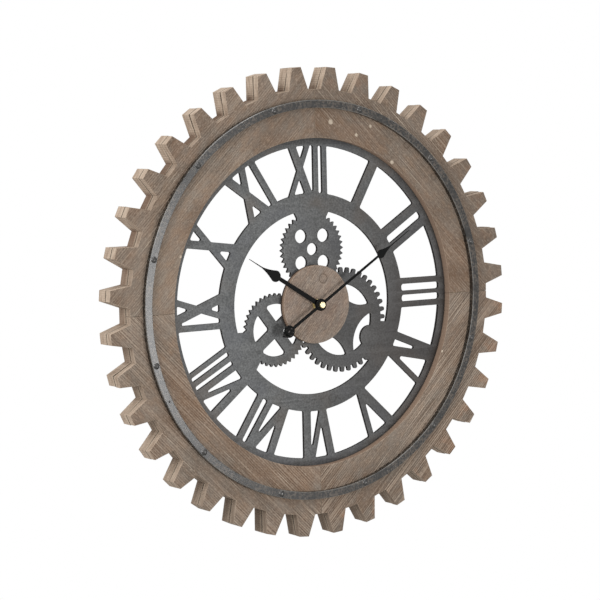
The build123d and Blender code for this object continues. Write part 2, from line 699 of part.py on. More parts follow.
def minute_hand():
    tail = Rectangle(MINUTE_BLADE["arm"], WEIGHT_DISTANCE, align=(Align.CENTER, Align.MAX))
    hand = slab(blade(MINUTE_BLADE) + tail + counterweight(), MINUTE_HAND_BACK, HAND_THICKNESS)
    hand_front = MINUTE_HAND_BACK + HAND_THICKNESS
    boss = rod(WEIGHT_BOSS_RADIUS, hand_front, hand_front + WEIGHT_BOSS_HEIGHT, (0.0, -WEIGHT_DISTANCE))
    hand += chamfer(boss.edges().group_by(Axis.Z)[-1], WEIGHT_BOSS_BEVEL)
    hub = rod(MINUTE_HUB_RADIUS, MINUTE_HAND_BACK - MINUTE_HUB_BELOW, MINUTE_HUB_FRONT)
    hub = chamfer(hub.edges().group_by(Axis.Z)[-1], MINUTE_HUB_BEVEL)
    hand += hub
    hand -= rod(ARBOR_RADIUS, MINUTE_HAND_BACK - MINUTE_HUB_BELOW, MINUTE_HUB_FRONT)
    return Rot(0, 0, -MINUTE_HAND_ANGLE) * hand


def hand_nut():
    nut = rod(HAND_NUT_RADIUS, MINUTE_HUB_FRONT, MINUTE_HUB_FRONT + HAND_NUT_HEIGHT)
    nut = chamfer(nut.edges().group_by(Axis.Z)[-1], HAND_NUT_BEVEL)
    return nut - rod(THREAD_RADIUS, MINUTE_HUB_FRONT, MINUTE_HUB_FRONT + THREAD_LENGTH)


# Movement wheels


def gear_face(teeth, module, phase):
    """Straight-sided gear outline with one tooth at the phase angle."""
    form = LEAF_FORM if teeth <= LEAF_TEETH else WHEEL_FORM
    tip = module * (teeth / 2 + form[0])
    root = module * (teeth / 2 - form[1])
    tip_turn = math.degrees(form[2] * module / tip)
    root_turn = math.degrees(form[3] * module / root)
    points = []
    for i in range(teeth):
        middle = phase + 360 / teeth * i
        points.append(beside((0, 0), root, middle - root_turn))
        points.append(beside((0, 0), tip, middle - tip_turn))
        points.append(beside((0, 0), tip, middle + tip_turn))
        points.append(beside((0, 0), root, middle + root_turn))
    return outline(points)


def meshed(phase, teeth, other_teeth, direction):
    """Phase of a gear that meshes with one of the given phase, seen in the given direction."""
    passed = (direction - phase) * teeth / 360
    return direction + 180 - (0.5 - passed) * 360 / other_teeth


CENTRE = (0.0, 0.0)
THIRD = beside(CENTRE, CENTRE_MODULE * (CENTRE_TEETH + LEAF_TEETH) / 2, THIRD_DIRECTION)
SECONDS = beside(THIRD, THIRD_MODULE * (THIRD_TEETH + LEAF_TEETH) / 2, SECONDS_DIRECTION)
FIFTH = beside(SECONDS, SECONDS_MODULE * (SECONDS_TEETH + LEAF_TEETH) / 2, FIFTH_DIRECTION)
ROTOR = beside(FIFTH, FIFTH_MODULE * (FIFTH_TEETH + LEAF_TEETH) / 2, ROTOR_DIRECTION)
MOTION = beside(CENTRE, MOTION_DISTANCE, MOTION_DIRECTION)
SETTING = beside(MOTION, SETTING_DISTANCE, SETTING_DIRECTION)

MOTION_PHASE = meshed(0.0, CANNON_TEETH, MOTION_TEETH, MOTION_DIRECTION)
HOUR_PHASE = meshed(0.0, MOTION_PINION_TEETH, HOUR_TEETH, MOTION_DIRECTION + 180)
SETTING_PHASE = meshed(MOTION_PHASE, MOTION_TEETH, SETTING_TEETH, SETTING_DIRECTION)
THIRD_PINION_PHASE = meshed(0.0, CENTRE_TEETH, LEAF_TEETH, THIRD_DIRECTION)
SECONDS_PINION_PHASE = meshed(0.0, THIRD_TEETH, LEAF_TEETH, SECONDS_DIRECTION)
FIFTH_PINION_PHASE = meshed(0.0, SECONDS_TEETH, LEAF_TEETH, FIFTH_DIRECTION)
ROTOR_PINION_PHASE = meshed(0.0, FIFTH_TEETH, LEAF_TEETH, ROTOR_DIRECTION)


def pivots():
    """Arbor with a pivot at each end, from the back plate to the front plate."""
    return rod(PIVOT_RADIUS, INNER_BACK - PIVOT_DEPTH + END_PLAY, INNER_FRONT + PIVOT_DEPTH - END_PLAY)


def pivot_holes(places):
    """Blind holes for the arbors, in both plates."""
    back, front = INNER_BACK - PIVOT_DEPTH, INNER_FRONT + PIVOT_DEPTH
    return [rod(PIVOT_RADIUS + RUNNING_FIT, back, front, place) for place in places]


def hour_wheel():
    wheel = slab(gear_face(HOUR_TEETH, HOUR_MODULE, HOUR_PHASE), HOUR_WHEEL_BACK, HOUR_WHEEL_THICKNESS)
    wheel += rod(TUBE_RADIUS, HOUR_WHEEL_BACK, HOUR_TUBE_FRONT)
    return wheel - rod(ARBOR_RADIUS + RUNNING_FIT, HOUR_WHEEL_BACK, HOUR_TUBE_FRONT)


def minute_arbor():
    arbor = slab(gear_face(CANNON_TEETH, MOTION_MODULE, 0.0), CANNON_BACK, CANNON_THICKNESS)
    arbor += rod(ARBOR_RADIUS, CANNON_BACK, MINUTE_HUB_FRONT)
    arbor += rod(THREAD_RADIUS, MINUTE_HUB_FRONT, MINUTE_HUB_FRONT + THREAD_LENGTH)
    arbor += rod(SPINDLE_RADIUS, INNER_BACK + END_PLAY, CANNON_BACK)
    return arbor + rod(PIVOT_RADIUS, INNER_BACK - PIVOT_DEPTH + END_PLAY, INNER_BACK + END_PLAY)


def motion_wheel():
    wheel_front = MOTION_WHEEL_BACK + MOTION_WHEEL_THICKNESS
    pinion_front = HOUR_WHEEL_BACK + HOUR_WHEEL_THICKNESS
    teeth = gear_face(MOTION_TEETH, MOTION_MODULE, MOTION_PHASE)
    wheel = slab(teeth, MOTION_WHEEL_BACK, MOTION_WHEEL_THICKNESS)
    wheel += slab(gear_face(MOTION_PINION_TEETH, HOUR_MODULE, 0.0), wheel_front, pinion_front - wheel_front)
    return Pos(*MOTION) * (wheel + pivots())


def setting_knob():
    gear = slab(gear_face(SETTING_TEETH, MOTION_MODULE, SETTING_PHASE), CANNON_BACK, SETTING_THICKNESS)
    knob = rod(KNOB_RADIUS, KNOB_BACK, KNOB_BACK + KNOB_THICKNESS)
    for i in range(KNOB_GROOVES):
        place = clock_point(KNOB_RADIUS, 360 / KNOB_GROOVES * i)
        knob -= rod(KNOB_GROOVE_RADIUS, KNOB_BACK, KNOB_BACK + KNOB_THICKNESS, place)
    shaft = rod(KNOB_SHAFT_RADIUS, KNOB_BACK, CANNON_BACK)
    tail = rod(PIVOT_RADIUS, CANNON_BACK, INNER_FRONT + PIVOT_DEPTH - END_PLAY)
    return Pos(*SETTING) * (gear + knob + shaft + tail)


def centre_wheel():
    wheel = slab(gear_face(CENTRE_TEETH, CENTRE_MODULE, 0.0), CENTRE_WHEEL_BACK, WHEEL_THICKNESS)
    wheel_front = CENTRE_WHEEL_BACK + WHEEL_THICKNESS
    wheel += rod(CENTRE_COLLAR_RADIUS, wheel_front, wheel_front + CENTRE_COLLAR)
    return wheel - rod(SPINDLE_RADIUS + RUNNING_FIT, CENTRE_WHEEL_BACK, wheel_front + CENTRE_COLLAR)


def third_wheel():
    wheel = slab(gear_face(THIRD_TEETH, THIRD_MODULE, 0.0), THIRD_WHEEL_BACK, WHEEL_THICKNESS)
    wheel_front = THIRD_WHEEL_BACK + WHEEL_THICKNESS
    leaves = gear_face(LEAF_TEETH, CENTRE_MODULE, THIRD_PINION_PHASE)
    wheel += slab(leaves, wheel_front, THIRD_PINION_FRONT - wheel_front)
    return Pos(*THIRD) * (wheel + pivots())


def seconds_wheel():
    wheel = slab(gear_face(SECONDS_TEETH, SECONDS_MODULE, 0.0), SECONDS_WHEEL_BACK, WHEEL_THICKNESS)
    wheel_front = SECONDS_WHEEL_BACK + WHEEL_THICKNESS
    leaves = gear_face(LEAF_TEETH, THIRD_MODULE, SECONDS_PINION_PHASE)
    wheel += slab(leaves, wheel_front, SECONDS_PINION_FRONT - wheel_front)
    return Pos(*SECONDS) * (wheel + pivots())


def fifth_wheel():
    wheel = slab(gear_face(FIFTH_TEETH, FIFTH_MODULE, 0.0), FIFTH_WHEEL_BACK, WHEEL_THICKNESS)
    wheel_front = FIFTH_WHEEL_BACK + WHEEL_THICKNESS
    leaves = gear_face(LEAF_TEETH, SECONDS_MODULE, FIFTH_PINION_PHASE)
    wheel += slab(leaves, wheel_front, FIFTH_PINION_FRONT - wheel_front)
    return Pos(*FIFTH) * (wheel + pivots())


def rotor():
    leaves = gear_face(LEAF_TEETH, FIFTH_MODULE, ROTOR_PINION_PHASE)
    wheel = slab(leaves, ROTOR_PINION_BACK, ROTOR_PINION_THICKNESS)
    wheel += rod(MAGNET_RADIUS, MAGNET_BACK, MAGNET_BACK + MAGNET_HEIGHT)
    return Pos(*ROTOR) * (wheel + pivots())


# Movement case and what is fixed in it


def front_case():
    wall = SIDE_WALL
    case = block(-CASE_HALF, CASE_HALF, CASE_BOTTOM, CASE_TOP, INNER_BACK, CASE_FRONT)
    case -= block(-INNER_HALF, INNER_HALF, CASE_BOTTOM + wall, CASE_TOP - wall, INNER_BACK, INNER_FRONT)
    case += block(-INNER_HALF, INNER_HALF, PARTITION_TOP - PARTITION, PARTITION_TOP, INNER_BACK, INNER_FRONT)
    case += rod(BUSH_RADIUS, CASE_FRONT, BUSH_FRONT)
    case -= rod(TUBE_RADIUS + RUNNING_FIT, INNER_FRONT, BUSH_FRONT)
    for place in board_posts():
        case += rod(POST_RADIUS, BOARD_BACK + BOARD_DEPTH, INNER_FRONT, place)
    case -= pivot_holes([MOTION, SETTING, THIRD, SECONDS, FIFTH, ROTOR])
    return case


def back_case():
    plate = block(-CASE_HALF, CASE_HALF, PARTITION_TOP - PARTITION, CASE_TOP, CASE_BACK, INNER_BACK)
    plate -= rod(KNOB_RADIUS + KNOB_GAP, CASE_BACK, INNER_BACK, SETTING)
    for place in stator_posts():
        plate += rod(POST_RADIUS, INNER_BACK, STATOR_BACK, place)
    plate -= pivot_holes([CENTRE, MOTION, THIRD, SECONDS, FIFTH, ROTOR])
    return plate


def gasket():
    sheet = Rectangle(GASKET_SIZE, GASKET_SIZE)
    return slab(sheet - Circle(BUSH_RADIUS + RUNNING_FIT), CASE_FRONT, GASKET_THICKNESS)


def washer():
    return slab(Circle(WASHER_RADIUS) - Circle(BUSH_RADIUS + RUNNING_FIT), DISC_FRONT, WASHER_THICKNESS)


def bush_nut():
    hexagon = RegularPolygon(NUT_FLATS / 2, 6, major_radius=False)
    return slab(hexagon - Circle(BUSH_RADIUS + RUNNING_FIT), WASHER_FRONT, NUT_HEIGHT)


def board_posts():
    half_height = BOARD_SIZE[1] / 2 - POST_RADIUS
    return [(BOARD_X, BOARD_Y + side * half_height) for side in (-1, 1)]


def stator_posts():
    right = STATOR_RIGHT - STATOR_ARM / 2
    return [(ROTOR[0], CORE_HEIGHT), (right, LOWER_ARM)]


def stator():
    """Loop of soft iron: eye round the rotor, core through the coil and an arm back below it."""
    eye = Pos(*ROTOR) * Circle(STATOR_EYE)
    half = STATOR_ARM / 2
    left = ROTOR[0] - half
    right = STATOR_RIGHT - STATOR_ARM
    levels = (STATOR_BACK, STATOR_BACK + STATOR_THICKNESS)
    core = block(left, STATOR_RIGHT, CORE_HEIGHT - half, CORE_HEIGHT + half, *levels)
    left_arm = block(left, left + STATOR_ARM, ROTOR[1], CORE_HEIGHT, *levels)
    lower_arm = block(ROTOR[0], STATOR_RIGHT, LOWER_ARM - half, LOWER_ARM + half, *levels)
    right_arm = block(right, STATOR_RIGHT, LOWER_ARM, CORE_HEIGHT, *levels)
    iron = slab(eye, STATOR_BACK, STATOR_THICKNESS) + core + left_arm + lower_arm + right_arm
    return iron - rod(STATOR_HOLE, *levels, ROTOR)


def coil():
    start = ROTOR[0] + STATOR_ARM / 2 + COIL_LEFT_GAP
    length = COIL_END - start
    whole = Cylinder(COIL_RADIUS, length)
    flange = Cylinder(COIL_FLANGE_RADIUS, COIL_FLANGE)
    for side in (-1, 1):
        whole += Pos(0, 0, side * (length - COIL_FLANGE) / 2) * flange
    whole -= Box(STATOR_THICKNESS + 2 * CORE_FIT, STATOR_ARM + 2 * CORE_FIT, 2 * length)
    middle = Pos((start + COIL_END) / 2, CORE_HEIGHT, STATOR_BACK + STATOR_THICKNESS / 2)
    return middle * Rot(0, 90, 0) * whole


def circuit_board():
    board = Pos(BOARD_X, BOARD_Y, BOARD_BACK + BOARD_DEPTH / 2) * Box(*BOARD_SIZE, BOARD_DEPTH)
    return board + Pos(BOARD_X, BOARD_Y + CHIP_SHIFT, BOARD_BACK - CHIP_SIZE[2] / 2) * Box(*CHIP_SIZE)


def crystal():
    can = Rot(90, 0, 0) * Cylinder(CRYSTAL_RADIUS, CRYSTAL_LENGTH)
    return Pos(BOARD_X, BOARD_Y - CRYSTAL_SHIFT, BOARD_BACK - CRYSTAL_RADIUS) * can


def cell_level():
    return INNER_FRONT - CELL_GAP - CELL_RADIUS


def lying_rod(radius, left, right):
    """Round rod along X on the axis of the battery cell."""
    return Pos((left + right) / 2, CELL_HEIGHT, cell_level()) * Rot(0, 90, 0) * Cylinder(radius, right - left)


def battery():
    body = lying_rod(CELL_RADIUS, CELL_BODY_LEFT, CELL_BODY_RIGHT)
    return body + lying_rod(CELL_TIP_RADIUS, CELL_BODY_RIGHT, CELL_TIP)


def contact(wall, inner):
    """Sheet metal contact on one end wall with a boss that reaches the cell."""
    side = math.copysign(1, wall)
    plate = Box(CONTACT_THICKNESS, CONTACT_SIZE[0], CONTACT_SIZE[1])
    plate = Pos(wall - side * CONTACT_THICKNESS / 2, CELL_HEIGHT, cell_level()) * plate
    return plate + lying_rod(CONTACT_BOSS_RADIUS, min(inner, wall), max(inner, wall))


def build():
    """Every piece by its node name."""
    risen = Pos(0, RING_RISE)
    return {
        "board_upper_right": risen * front_board(0),
        "board_lower_right": risen * front_board(1),
        "board_lower_left": risen * front_board(2),
        "board_upper_left": risen * front_board(3),
        "back_ring": risen * back_ring(),
        "board_screws": risen * board_screws(),
        "hoop": risen * hoop(),
        "hoop_screws": risen * hoop_screws(),
        "hoop_pins": risen * hoop_pins(),
        "hanger_plate": risen * hanger_plate(),
        "hanger_screws": risen * hanger_screws(),
        "dial": dial(),
        "centre_disc": centre_disc(),
        "disc_screws": disc_screws(),
        "hour_hand": hour_hand(),
        "minute_hand": minute_hand(),
        "hand_nut": hand_nut(),
        "front_case": front_case(),
        "back_case": back_case(),
        "gasket": gasket(),
        "washer": washer(),
        "bush_nut": bush_nut(),
        "hour_wheel": hour_wheel(),
        "minute_arbor": minute_arbor(),
        "motion_wheel": motion_wheel(),
        "setting_knob": setting_knob(),
        "centre_wheel": centre_wheel(),
        "third_wheel": third_wheel(),
        "seconds_wheel": seconds_wheel(),
        "fifth_wheel": fifth_wheel(),
        "rotor": rotor(),
        "stator": stator(),
        "coil": coil(),
        "circuit_board": circuit_board(),
        "crystal": crystal(),
        "battery": battery(),
        "contact_plus": contact(INNER_HALF, CELL_TIP),
        "contact_minus": contact(-INNER_HALF, CELL_BODY_LEFT),
    }


os.makedirs("parts", exist_ok=True)
for name, piece in build().items():
    export_step(FRAME.location * piece, f"parts/{name}.step")
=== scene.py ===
import math
import random
from collections import namedtuple

import bmesh
import bpy
from mathutils import Matrix, Vector


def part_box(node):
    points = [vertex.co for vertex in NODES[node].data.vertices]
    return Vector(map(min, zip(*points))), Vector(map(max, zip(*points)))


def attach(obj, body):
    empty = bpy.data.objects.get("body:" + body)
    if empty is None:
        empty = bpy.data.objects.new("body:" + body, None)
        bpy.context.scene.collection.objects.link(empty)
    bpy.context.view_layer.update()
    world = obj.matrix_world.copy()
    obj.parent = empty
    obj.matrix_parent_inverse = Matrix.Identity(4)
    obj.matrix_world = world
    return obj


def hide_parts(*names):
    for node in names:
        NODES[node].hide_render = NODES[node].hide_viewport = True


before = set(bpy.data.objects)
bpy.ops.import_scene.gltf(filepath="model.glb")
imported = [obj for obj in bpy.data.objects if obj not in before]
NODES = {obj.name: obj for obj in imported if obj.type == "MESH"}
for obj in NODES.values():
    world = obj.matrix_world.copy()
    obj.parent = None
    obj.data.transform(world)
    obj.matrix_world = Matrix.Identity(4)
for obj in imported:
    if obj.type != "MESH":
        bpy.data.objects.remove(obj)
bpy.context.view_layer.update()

MILLIMETRE = 0.001

# Places taken from the frame (metres)
RING_HEIGHT = sum(corner.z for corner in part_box("back_ring")) / 2
TIP_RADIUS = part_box("back_ring")[1].z - RING_HEIGHT
WOOD_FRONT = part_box("board_upper_left")[0].y
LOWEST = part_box("back_ring")[0].z

# Places taken from the frame for the materials, which work in millimetres
SEAM_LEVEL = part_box("board_upper_left")[1].y / MILLIMETRE
DIAL_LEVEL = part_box("dial")[0].y / MILLIMETRE
HOOP_RISE = (sum(corner.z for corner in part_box("hoop")) / 2 - RING_HEIGHT) / MILLIMETRE
HOOP_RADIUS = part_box("hoop")[1].x / MILLIMETRE
DISC_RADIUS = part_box("centre_disc")[1].x / MILLIMETRE

# Lamp: place and edge length in metres, power in watts
Lamp = namedtuple("Lamp", "place size power")

# Noise: size of its cells in millimetres along, through and across the grain, levels of detail
Grain = namedtuple("Grain", "along through across detail")

# Layer of colour: its strength, the values at which it starts and is full
Cover = namedtuple("Cover", "strength start full")

# Wood of a piece: direction of the grain in degrees from 3 o'clock towards 12, shade, strength of the saw
# lines, soil beyond the hoop, warm tint of the teeth, colours of the front, place in the noise
Wood = namedtuple("Wood", "turn shade ruled soil warmth tones offset")

# Plain finish: colour, roughness, share of metal, nodes that have it
Finish = namedtuple("Finish", "colour roughness metal nodes")

# Camera: angles in degrees, the point looked at is counted from the middle of the ring at its front
VIEW_YAW = -33.128
VIEW_ELEVATION = 4.961
VIEW_ROLL = -1.035
VIEW_DISTANCE = 2.6716
VIEW_SHIFT_X = -0.0273
VIEW_SHIFT_Z = 0.0056
LENS = 126.46
SENSOR = 36.0

# Light
WHITE = (1.0, 1.0, 1.0, 1.0)
SURROUND_STRENGTH = 0.50
LAMPS = {"key": Lamp((0.42, -1.50, -0.42), 0.42, 8.8),
         "side": Lamp((-1.8, -0.7, 0.40), 1.2, 25.0),
         "top": Lamp((-0.2, -0.4, 1.6), 1.0, 13.0)}

# Floor
FLOOR_SIZE = 4.0
FLOOR_DROP = 1.2
FLOOR_PALE = (240, 240, 238)
FLOOR_DULL = (234, 234, 231)
FLOOR_CLOUD = Grain(400, 400, 400, 2.0)
FLOOR_CLOUD_RANGE = (0.3, 0.7)
FLOOR_GLOW = 0.35
FLOOR_ROUGHNESS = 0.9
FLOOR_SPECULAR = 0.1

# Eased edges of the flat pieces, and the turn that stands a flat outline upright
BOARD_EASE = 0.5 * MILLIMETRE
DIAL_EASE = 0.35 * MILLIMETRE
DISC_EASE = 0.7 * MILLIMETRE
EDGE_STEPS = 2
EDGE_ANGLE = 15.0
MERGE_GAP = 0.002 * MILLIMETRE
LEVEL_GAP = 0.01 * MILLIMETRE
PLACE_DIGITS = 6
UPRIGHT = Matrix(((1, 0, 0, 0), (0, 0, -1, 0), (0, 1, 0, 0), (0, 0, 0, 1)))

# Teeth of the boards stand a little out of line with those behind them (turns in degrees)
TOOTH_COUNT = 36
TOOTH_WANDER = 0.16
TOOTH_HEIGHT = 28.0 * MILLIMETRE
FOOT_RADIUS = TIP_RADIUS - TOOTH_HEIGHT
WANDER_SEED = 4

# Wood; here and below colours are screen colours from 0 to 255, a range is where a share starts and is full,
# and a bump is a strength and a depth in millimetres
BOARD_TONES = {"dark": (110, 96, 84), "mid": (136, 119, 105), "brown": (143, 117, 95),
               "grey": (132, 125, 116), "stain": (112, 82, 58), "bare": (148, 140, 130)}
DISC_TONES = {"dark": (120, 106, 95), "mid": (143, 127, 115), "brown": (146, 123, 107),
              "grey": (138, 130, 123), "stain": (126, 104, 92), "bare": (148, 137, 127)}
# The right boards' lower shade is partly their own tone and partly painted shade, as more light falls from
# the left
BOARDS = {"board_upper_right": Wood(-45.0, 0.93, 0.65, 0.30, 0.15, BOARD_TONES, (0.0, 0.0, 0.0)),
          "board_lower_right": Wood(45.0, 0.92, 1.4, 0.02, 0.5, BOARD_TONES, (0.37, 0.11, 0.53)),
          "board_lower_left": Wood(-45.0, 1.0, 1.0, 0.20, 0.05, BOARD_TONES, (0.74, 0.22, 1.06)),
          "board_upper_left": Wood(45.0, 1.0, 0.6, 0.28, 0.1, BOARD_TONES, (1.11, 0.33, 1.59))}
DISC_WOOD = Wood(48.0, 0.97, 0.4, 0.0, 0.0, DISC_TONES, (3.0, 0.2, 1.7))
BACK_WOOD = Wood(0.0, 0.97, 1.0, 0.2, 0.0, BOARD_TONES, (2.0, 0.4, 1.0))
WOOD_ROUGHNESS = 0.8
WOOD_SPECULAR = 0.2
WOOD_BUMP = (0.5, 0.35)

# Tones of the wood's front
BLOTCH = Grain(42, 30, 30, 3.0)
BLOTCH_RANGE = (0.32, 0.66)
TINT = Grain(16, 9, 9, 2.0)
BROWN_COVER = Cover(0.6, 0.50, 0.75)
GREY_COVER = Cover(0.6, 0.50, 0.25)
BROAD = Grain(95, 60, 60, 1.0)
STAIN_COVER = Cover(0.55, 0.50, 0.70)
BARE_COVER = Cover(0.2, 0.50, 0.32)
# Pale wear on the eased edges; the same colour makes the painted highlight beside the seam
PALE_WEAR_AND_HIGHLIGHT = (196, 178, 158)
WORN_COVER = Cover(0.6, 0.3, 0.6)

# Soil beyond the hoop and the warm tint of the teeth (millimetres)
SOIL_START = HOOP_RADIUS - 1.0
SOIL_FULL = HOOP_RADIUS + 4.0
TOOTH_FOOT = FOOT_RADIUS / MILLIMETRE
FOOT_HEIGHT = 8.0
TOOTH_WARM = (150, 108, 80)
WARM = Grain(22, 22, 22, 2.0)
WARM_RANGE = (0.50, 0.62)

# Saw lines, streaks, flecks and scratches on the wood's front
LINE_PALE = (178, 161, 144)
LINE_DARK = (84, 70, 59)
SCRATCH_PALE = (204, 190, 171)
PATCH = Grain(70, 40, 40, 2.0)
PATCH_TURN = 30.0
SAW_PATCHES = (0.30, 0.62)
SAW_SPACING = 2.8
SAW_STRETCH = 6.0
SAW_WANDER = 1.6
SAW_DETAIL = 3.0
SAW_DETAIL_SCALE = 2.5
SAW_PALE_COVER = Cover(0.35, 0.62, 1.0)
SAW_DARK_COVER = Cover(0.35, 0.38, 0.0)
STREAK = Grain(120, 14, 1.6, 1.0)
STREAK_PATCHES = (0.25, 0.50)
STREAK_PALE_COVER = Cover(0.6, 0.52, 0.80)
STREAK_DARK_COVER = Cover(0.6, 0.48, 0.20)
FLECK = Grain(4, 2, 1.7, 2.0)
FLECK_PALE_COVER = Cover(0.6, 0.52, 0.85)
FLECK_DARK_COVER = Cover(0.6, 0.48, 0.15)
SCRATCH = Grain(80, 20, 0.9, 1.0)
SCRATCH_TURN = 1.5
SCRATCH_COVER = Cover(0.7, 0.66, 0.76)

# Marks on the wood's front: place from the middle of the ring and radius in millimetres
CHIPS = ((23.9, 229.7, 3.8), (85.9, 223.2, 2.4), (63.4, 212.4, 2.6), (196.5, -76.7, 2.0),
         (119.0, 176.0, 3.0), (-199.8, 69.3, 2.0))
CHIP_EDGE = Grain(2.5, 2.5, 2.5, 1.0)
CHIP_START = 1.5
CHIP_FULL = 1.1
CHIP_STRENGTH = 0.7
PLUGS = ((143.0, 197.5, 4.2), (186.0, 155.0, 4.2), (10.2, 30.8, 5.8))
PLUG_LINE = 1.4
PLUG_STRENGTH = 0.7
SMUDGES = ((178.0, 145.0, 80.0), (-45.0, 222.0, 60.0), (-130.0, -186.0, 70.0))
SMUDGE_STRENGTH = 0.25
# Painted light: a paler patch on the left boards, where more light falls
LEFT_PAINTED_LIGHT = ((-222.0, 50.0, 75.0),)
LEFT_PAINTED_LIGHT_STRENGTH = 0.22

# Sides of the teeth: heights are counted from the middle of the ring (millimetres)
EDGE_DARK = (152, 133, 116)
EDGE_PALE = (186, 168, 150)
SIDE_GRAIN = Grain(14, 4, 14, 4.0)
SIDE_RANGE = (0.32, 0.66)
# Painted shade at the foot of the teeth and on the lower teeth, where less light reaches
FLANK_SHADE = (78, 64, 54)
ROOT_SHADE_STRENGTH = 0.3
LOW_SHADE_HEIGHTS = (-190.0, -265.0)
LOW_SHADE_STRENGTH = 0.55
# Painted shade, reddish brown, at the foot of the back layer behind the seam, stronger higher up
RECESS_SHADE = (92, 62, 44)
RECESS_SHADE_HEIGHTS = (-120.0, 120.0)
RECESS_SHADE_STRENGTH = 0.6

# Seam between the two layers of wood (millimetres)
SEAM_DARK = (40, 34, 30)
SEAM_WIDTH = 1.3
SEAM_SHARPNESS = 0.5
SEAM_STRENGTH = 0.9
SEAM_BREAKS = Grain(9, 40, 9, 2.0)
SEAM_BREAK_RANGE = (0.25, 0.45)
LIP_WIDTH = 4 * SEAM_WIDTH
LIP_STRENGTH = 0.6

# Sides of the ring's bore and of the disc (millimetres); sides within the bore's radii belong to one of them
BORE_RADII = (225.0, 220.0)
BORE_STAIN = (134, 113, 97)
# Painted shade on the bore and on the disc's side where they meet the dial
BORE_SHADE = (34, 30, 28)
BORE_SHADE_WIDTH = 2.2
DISC_RIM_SHADE = (52, 42, 36)
DISC_SHADE_WIDTH = 5.0

# Hoop
HOOP_DARK = (10, 8, 6)
HOOP_PALE = (74, 66, 58)
HOOP_FINE = Grain(2.6, 2.6, 2.6, 1.0)
HOOP_FINE_RANGE = (0.42, 0.64)
HOOP_BROAD = Grain(30, 30, 30, 2.0)
HOOP_BROAD_RANGE = (0.25, 0.55)
HOOP_SPECK = (150, 148, 142)
SPECK = Grain(1.8, 1.8, 1.8, 1.0)
SPECK_OFFSET = (0.9, 0.1, 0.4)
SPECK_COVER = Cover(0.5, 0.64, 0.74)
# Pale edges of the hoop: partly wear, partly a painted highlight along the edges
HOOP_EDGE_WEAR_AND_HIGHLIGHT = (128, 126, 122)
HOOP_EDGE_WEAR_AND_HIGHLIGHT_COVER = Cover(0.5, 0.3, 0.5)
HOOP_ROUGHNESS = 0.3
HOOP_SPECULAR = 0.57
HOOP_BUMP = (0.05, 0.2)

# Dial: places from the middle of the ring in millimetres
DIAL_DARK = (62, 63, 63)
DIAL_PALE = (103, 104, 104)
DIAL_FINE = Grain(2.2, 2.2, 2.2, 1.0)
DIAL_FINE_RANGE = (0.25, 0.75)
DIAL_CLOUD = Grain(11, 11, 11, 2.0)
DIAL_CLOUD_OFFSET = (0.6, 0.2, 0.1)
DIAL_CLOUD_COVER = Cover(0.5, 0.45, 0.25)
DIAL_BROAD = Grain(50, 50, 50, 2.0)
DIAL_BROAD_OFFSET = (0.3, 0.0, 0.7)
DIAL_RUST = (98, 84, 72)
DIAL_RUST_COVER = Cover(0.3, 0.52, 0.68)
DIAL_BLUE = (66, 70, 82)
DIAL_BLUE_COVER = Cover(0.2, 0.46, 0.32)
# Painted shade to the right and on the rim near the wood; the same colour draws the dent's outline
DIAL_SHADE_AND_MARK = (40, 34, 31)
DIAL_SHADE_PLACE = (150.0, -30.0)
DIAL_SHADE_COVER = Cover(0.8, 260.0, 0.0)
RIM_SHADE_COVER = Cover(0.33, 197.0, 208.0)
DENT_PLACE = (27.3, -125.5)
DENT_RADIUS = 5.4
DENT_LINE = 1.5
DENT_STRENGTH = 0.5
DIAL_EDGE = (20, 16, 14)
DIAL_EDGE_STRENGTH = 0.2
DIAL_ROUGHNESS = 0.5
DIAL_SIDE_ROUGHNESS = 0.95
DIAL_SPECULAR = 0.35
DIAL_BUMP = (0.25, 0.2)

# Hands: the middle of the counterweight lies an inset from the ends of the minute hand (millimetres)
HAND_BLACK = (12, 12, 12)
# Pale crazing on the counterweight, partly painted highlight on its dome
WEIGHT_CRAZE_AND_HIGHLIGHT = (120, 114, 110)
CRACK = Grain(3.2, 3.2, 3.2, 3.0)
WEIGHT_CRAZE_AND_HIGHLIGHT_COVER = Cover(0.8, 0.55, 0.68)
WEIGHT_INSET = 8.0
WEIGHT_BLUR = 1.0
HAND_ROUGHNESS = 0.5
HAND_SPECULAR = 0.06
HAND_BUMP = (0.3, 0.3)

# Plain finishes of the smaller parts
FINISH_GRAIN = Grain(0.8, 0.8, 0.8, 3.0)
FINISH_RANGE = (0.3, 0.7)
FINISH_SHADE = 0.8
FINISH_BUMP = (0.12, 0.2)
FINISHES = {
    "dark_screw": Finish((80, 79, 78), 0.35, 0.9, ["hoop_screws", "hoop_pins"]),
    "brass": Finish((224, 210, 168), 0.4, 1.0, ["hand_nut", "washer", "bush_nut"]),
    "zinc": Finish((168, 168, 164), 0.35, 0.9, ["board_screws", "disc_screws", "hanger_plate",
                                                "hanger_screws"]),
    "case_plastic": Finish((28, 28, 29), 0.5, 0.0, ["front_case", "back_case"]),
    "rubber": Finish((22, 22, 22), 0.8, 0.0, ["gasket"]),
    "wheel_plastic": Finish((228, 225, 214), 0.45, 0.0, ["hour_wheel", "minute_arbor", "motion_wheel",
                                                         "centre_wheel", "third_wheel", "seconds_wheel",
                                                         "fifth_wheel"]),
    "knob_plastic": Finish((176, 38, 30), 0.45, 0.0, ["setting_knob"]),
    "magnet": Finish((70, 70, 72), 0.4, 0.8, ["rotor"]),
    "soft_iron": Finish((150, 150, 152), 0.35, 0.9, ["stator"]),
    "copper_wire": Finish((176, 104, 62), 0.4, 0.8, ["coil"]),
    "board_resin": Finish((32, 92, 48), 0.4, 0.0, ["circuit_board"]),
    "crystal_can": Finish((186, 186, 190), 0.25, 0.95, ["crystal"]),
    "cell_skin": Finish((44, 62, 96), 0.3, 0.0, ["battery"]),
    "contact_steel": Finish((190, 188, 180), 0.25, 0.95, ["contact_plus", "contact_minus"]),
}

